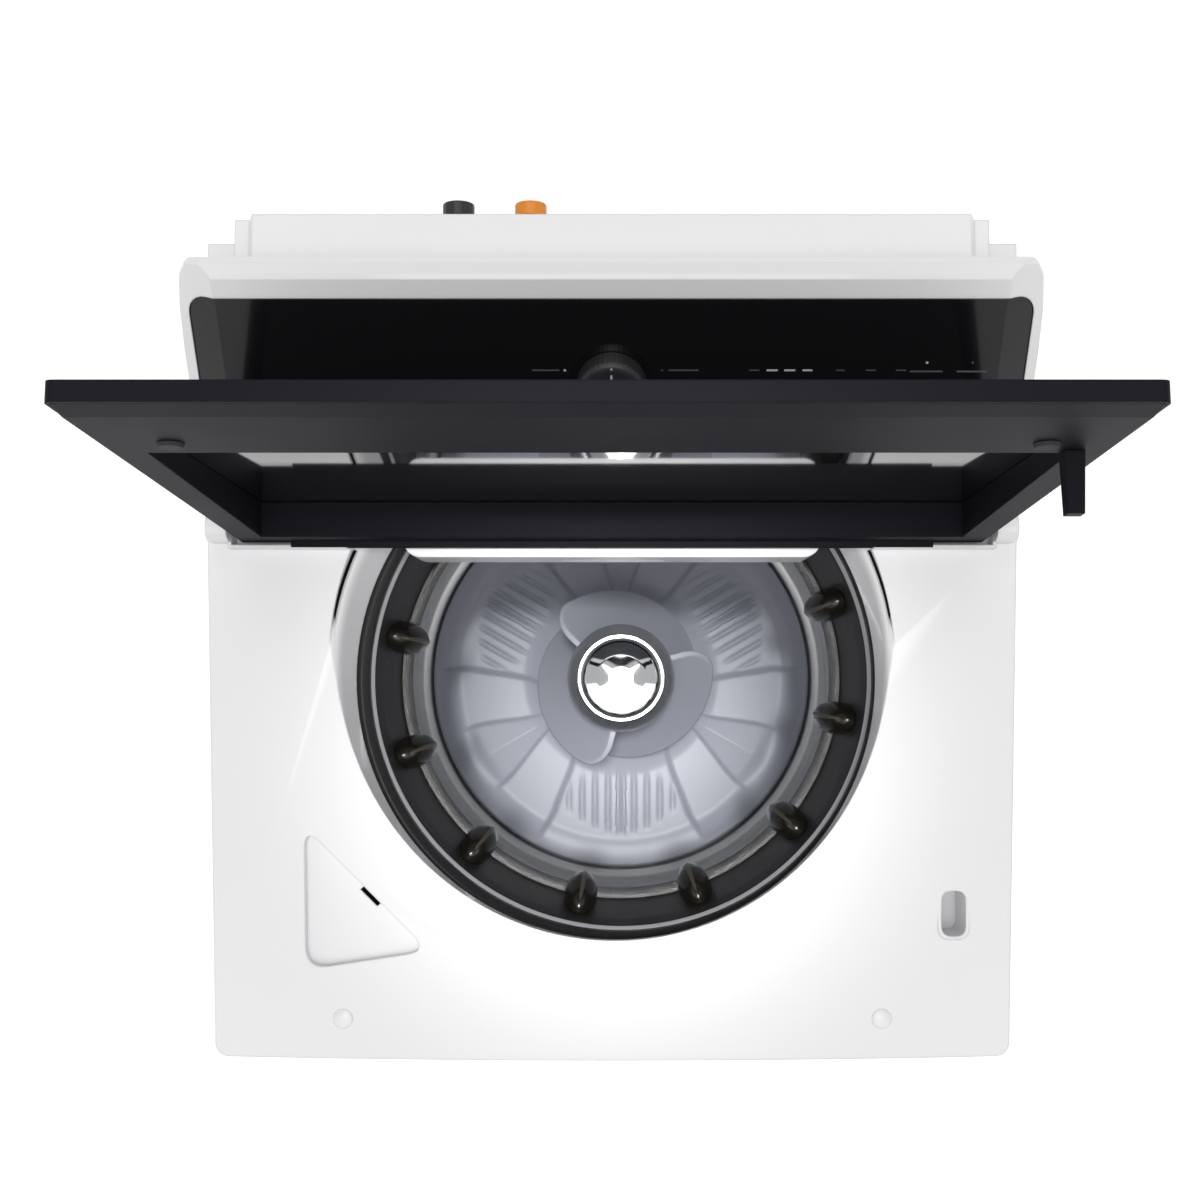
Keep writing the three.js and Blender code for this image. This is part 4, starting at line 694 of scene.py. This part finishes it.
build_post()
cap = turned("agitator_cap_fine", softened([
    (0, 590.5), (56, 590.5), (58.7, 593), (58.7, 598), (55, 606), (50, 612.5), (46, 615.2), (44, 614.4),
    (42, 615.6), (39, 617.2), (26, 619.6), (12, 620.9), (0, 621.3)], 1.4, closed=False, steps=4), DRUM)
attach(cap, "agitator", "chrome", ["agitator_cap"])

# ---------------------------------------------------------------- console: dial, buttons and generic marks
PANEL = Matrix.Translation((0, 0.135, 1.032)) @ Matrix.Rotation(math.radians(34.7), 4, "X")
DIAL_UP = 82  # the dial's centre, up the panel from its lower edge
BUTTON_UP = 65.25


def on_panel(obj):
    obj.data.transform(PANEL)
    return obj


def build_dial():
    build = bmesh.new()
    sides = 192
    profile = softened([
        (0, -16), (5, -16), (5, -1.5), (28, -1.5), (28, 18), (25.4, 21.4), (22, 22), (0, 21.4)],
        1.0, closed=False, steps=3)
    rows = []
    for radius, height in profile:
        row = []
        for i in range(sides):
            ridge = 0.35 * (1 if i % 4 < 2 else 0) if radius > 27 and height > 0 else 0
            angle = 2 * math.pi * i / sides
            r = (radius - ridge) * MM
            y = DIAL_UP * MM + r * math.sin(angle)
            row.append(build.verts.new((r * math.cos(angle), y, height * MM)))
        rows.append(row)
    skin(build, rows)
    dial = on_panel(made("dial_fine", build))
    attach(dial, "dial", "dark_plastic", ["dial"])
    foot, tip = DIAL_UP + 14, DIAL_UP + 24
    bar = softened([(-0.8, foot), (0.8, foot), (0.8, tip), (-0.8, tip)], 0.7)
    pointer = on_panel(prism("dial_pointer", bar, 21.3, 21.9))
    attach(pointer, "dial", "dark_plastic", material=WHITE_MARK)


build_dial()
for name, x in (("power", 232), ("start", 276)):
    button = turned(f"{name}_button_fine", softened([
        (0, -9), (7, -9), (9, -7), (9, 0.2), (8.4, 0.8), (6, 0.6), (0, 0.35)], 0.5, closed=False, steps=3),
        (x * MM, BUTTON_UP * MM), sides=64)
    attach(on_panel(button), f"{name}_button", "dark_plastic", [f"{name}_button"])

marks = [(-52, 95, 22, 1.2, DIM_MARK), (-37, 95, 2, 2, WHITE_MARK), (40, 95, 2, 1.2, DIM_MARK),
         (57, 95, 24, 1.2, DIM_MARK), (113, 95, 8, 1.0, DIM_MARK), (127, 95, 9, 1.6, WHITE_MARK),
         (141, 95, 9, 1.6, WHITE_MARK), (155, 95, 8, 1.6, WHITE_MARK), (181, 95, 7, 1.0, DIM_MARK),
         (205, 95, 8, 1.0, DIM_MARK), (229, 95, 8, 1.0, DIM_MARK), (249, 101.5, 2, 2, WHITE_MARK),
         (249, 94, 26, 1.4, DIM_MARK), (285, 101.5, 1.6, 1.6, DIM_MARK), (285, 94, 24, 1.4, DIM_MARK)]
for i, (x, y, width, height, look) in enumerate(marks):
    outline = softened([(x - width / 2, y - height / 2), (x + width / 2, y - height / 2),
                        (x + width / 2, y + height / 2), (x - width / 2, y + height / 2)], height * 0.45)
    mark = on_panel(prism(f"panel_mark_{i + 1}", outline, -0.4, 0.12))
    attach(mark, "cabinet", "gloss_black", material=look)


# ---------------------------------------------------------------- springs, bellows, inlet caps
def tube(name, points, radius, sides=20):
    """A round tube through points in millimetres, as a mesh."""
    curve = bpy.data.curves.new(name, "CURVE")
    curve.dimensions = "3D"
    curve.bevel_depth = radius * MM
    curve.bevel_resolution = sides // 4
    curve.use_fill_caps = True
    spline = curve.splines.new("POLY")
    spline.points.add(len(points) - 1)
    for point, place in zip(spline.points, points):
        point.co = (*[c * MM for c in place], 1)
    holder = bpy.data.objects.new(name, curve)
    bpy.context.scene.collection.objects.link(holder)
    mesh = bpy.data.meshes.new_from_object(holder.evaluated_get(bpy.context.evaluated_depsgraph_get()))
    bpy.data.objects.remove(holder)
    obj = bpy.data.objects.new(name, mesh)
    bpy.context.scene.collection.objects.link(obj)
    return resmooth(obj, 40)


for place in ("front_left", "front_right", "rear_left", "rear_right"):
    low, high = low_high(f"spring_{place}")
    centre = (low + high) / 2
    turns, per_turn = 5, 24
    helix = []
    for i in range(turns * per_turn + 1):
        angle = 2 * math.pi * i / per_turn
        helix.append((centre.x + 13.2 * math.cos(angle), centre.y + 13.2 * math.sin(angle),
                      low.z + 2.4 + (high.z - low.z - 4.8) * i / (turns * per_turn)))
    spring = tube(f"spring_{place}_fine", helix, 2.1, 12)
    spring.data.materials.append(FINISHES["zinc"])
    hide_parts(f"spring_{place}")
    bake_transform(spring)

low, high = low_high("sump_bellows")
folds = []
for i in range(25):
    z = low.z + (high.z - low.z) * i / 24
    folds.append((27 + 2 * math.cos(2 * math.pi * i / 8), z))
inside = [(r - 2.5, z) for r, z in reversed(folds)]
sump = ((low.x + high.x) / 2 * MM, (low.y + high.y) / 2 * MM)
bellows = turned("sump_bellows_fine", folds + inside, sump, sides=64)
bellows.data.materials.append(FINISHES["black_rubber"])
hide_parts("sump_bellows")
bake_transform(bellows)

for name, colour in (("cold", "dark_plastic"), ("hot", "orange_plastic")):
    low, high = low_high(f"{name}_inlet_cap")
    cx, cz = (low.x + high.x) / 2, (low.z + high.z) / 2
    build = bmesh.new()
    sides = 72
    rows = []
    cap_profile = [(10.3, 349.5), (13.0, 349.5), (13.0, 360), (12.2, 361), (0, 361)]
    for radius, y in softened(cap_profile, 0.6, False, 3):
        row = []
        for i in range(sides):
            flute = 0.5 if radius > 12.5 and 350.4 < y < 359.6 and i % 6 < 2 else 0
            angle = 2 * math.pi * i / sides
            row.append(build.verts.new(((cx + (radius - flute) * math.cos(angle)) * MM, y * MM,
                                        (cz + (radius - flute) * math.sin(angle)) * MM)))
        rows.append(row)
    bore = []
    for radius, y in ((0, 357.4), (10.3, 357.4)):
        bore.append([build.verts.new(((cx + radius * math.cos(2 * math.pi * i / sides)) * MM, y * MM,
                                      (cz + radius * math.sin(2 * math.pi * i / sides)) * MM))
                     for i in range(sides)])
    skin(build, bore + rows)
    attach(made(f"{name}_cap_fine", build), "cabinet", colour, [f"{name}_inlet_cap"])


# ---------------------------------------------------------------- floor and light
def build_stage():
    """A wide round floor just under the feet; it glows a little, so that it renders white."""
    build = bmesh.new()
    reach, level, sides = 14000, -0.8, 96
    hub = build.verts.new((0, 0, level * MM))
    rim = circle(build, (0, 0), reach, level, sides)
    for i in range(sides):
        build.faces.new((hub, rim[i], rim[(i + 1) % sides]))
    floor = made("floor", build)
    white = finish("floor_white", (0.93, 0.93, 0.93), 0.7)
    shader = white.node_tree.nodes["Principled BSDF"]
    shader.inputs["Emission Color"].default_value = (1, 1, 1, 1)
    shader.inputs["Emission Strength"].default_value = 0.36
    floor.data.materials.append(white)


build_stage()
world = bpy.data.worlds.new("studio")
world.use_nodes = True
background = world.node_tree.nodes["Background"]
background.inputs["Color"].default_value = (1, 1, 1, 1)
background.inputs["Strength"].default_value = 0.5
bpy.context.scene.world = world


def softbox(name, place, aim, size, power):
    light = bpy.data.lights.new(name, "AREA")
    light.shape = "RECTANGLE"
    light.size, light.size_y = size
    light.energy = power
    obj = bpy.data.objects.new(name, light)
    obj.location = place
    obj.rotation_euler = (Vector(aim) - Vector(place)).to_track_quat("-Z", "Y").to_euler()
    bpy.context.scene.collection.objects.link(obj)


softbox("overhead", (0, -1.3, 3.6), (0, 0.0, 0.8), (3.2, 2.2), 22)
softbox("top_key", (0.0, -0.2, 4.2), (0, -0.03, 0.3), (1.3, 1.3), 23)
softbox("rear_fill", (0, 1.9, 3.2), (0, 0.25, 1.1), (2.4, 1.2), 17)
softbox("left_fill", (-2.8, -0.6, 2.2), (0, 0, 0.7), (1.6, 1.6), 7)
softbox("right_fill", (2.8, -0.6, 2.2), (0, 0, 0.7), (1.6, 1.6), 7)

# a narrow beam through the deck's opening, from just in front of the raised lid
beam_data = bpy.data.lights.new("drum_beam", "SPOT")
beam_data.energy = 760
beam_data.spot_size = math.radians(7.4)
beam_data.spot_blend = 1.0
beam_data.shadow_soft_size = 0.16
beam = bpy.data.objects.new("drum_beam", beam_data)
beam.location = (0.004, 0.10, 4.4)
beam.rotation_euler = (Vector((0.0035, -0.085, 0.98)) - beam.location).to_track_quat("-Z", "Y").to_euler()
bpy.context.scene.collection.objects.link(beam)
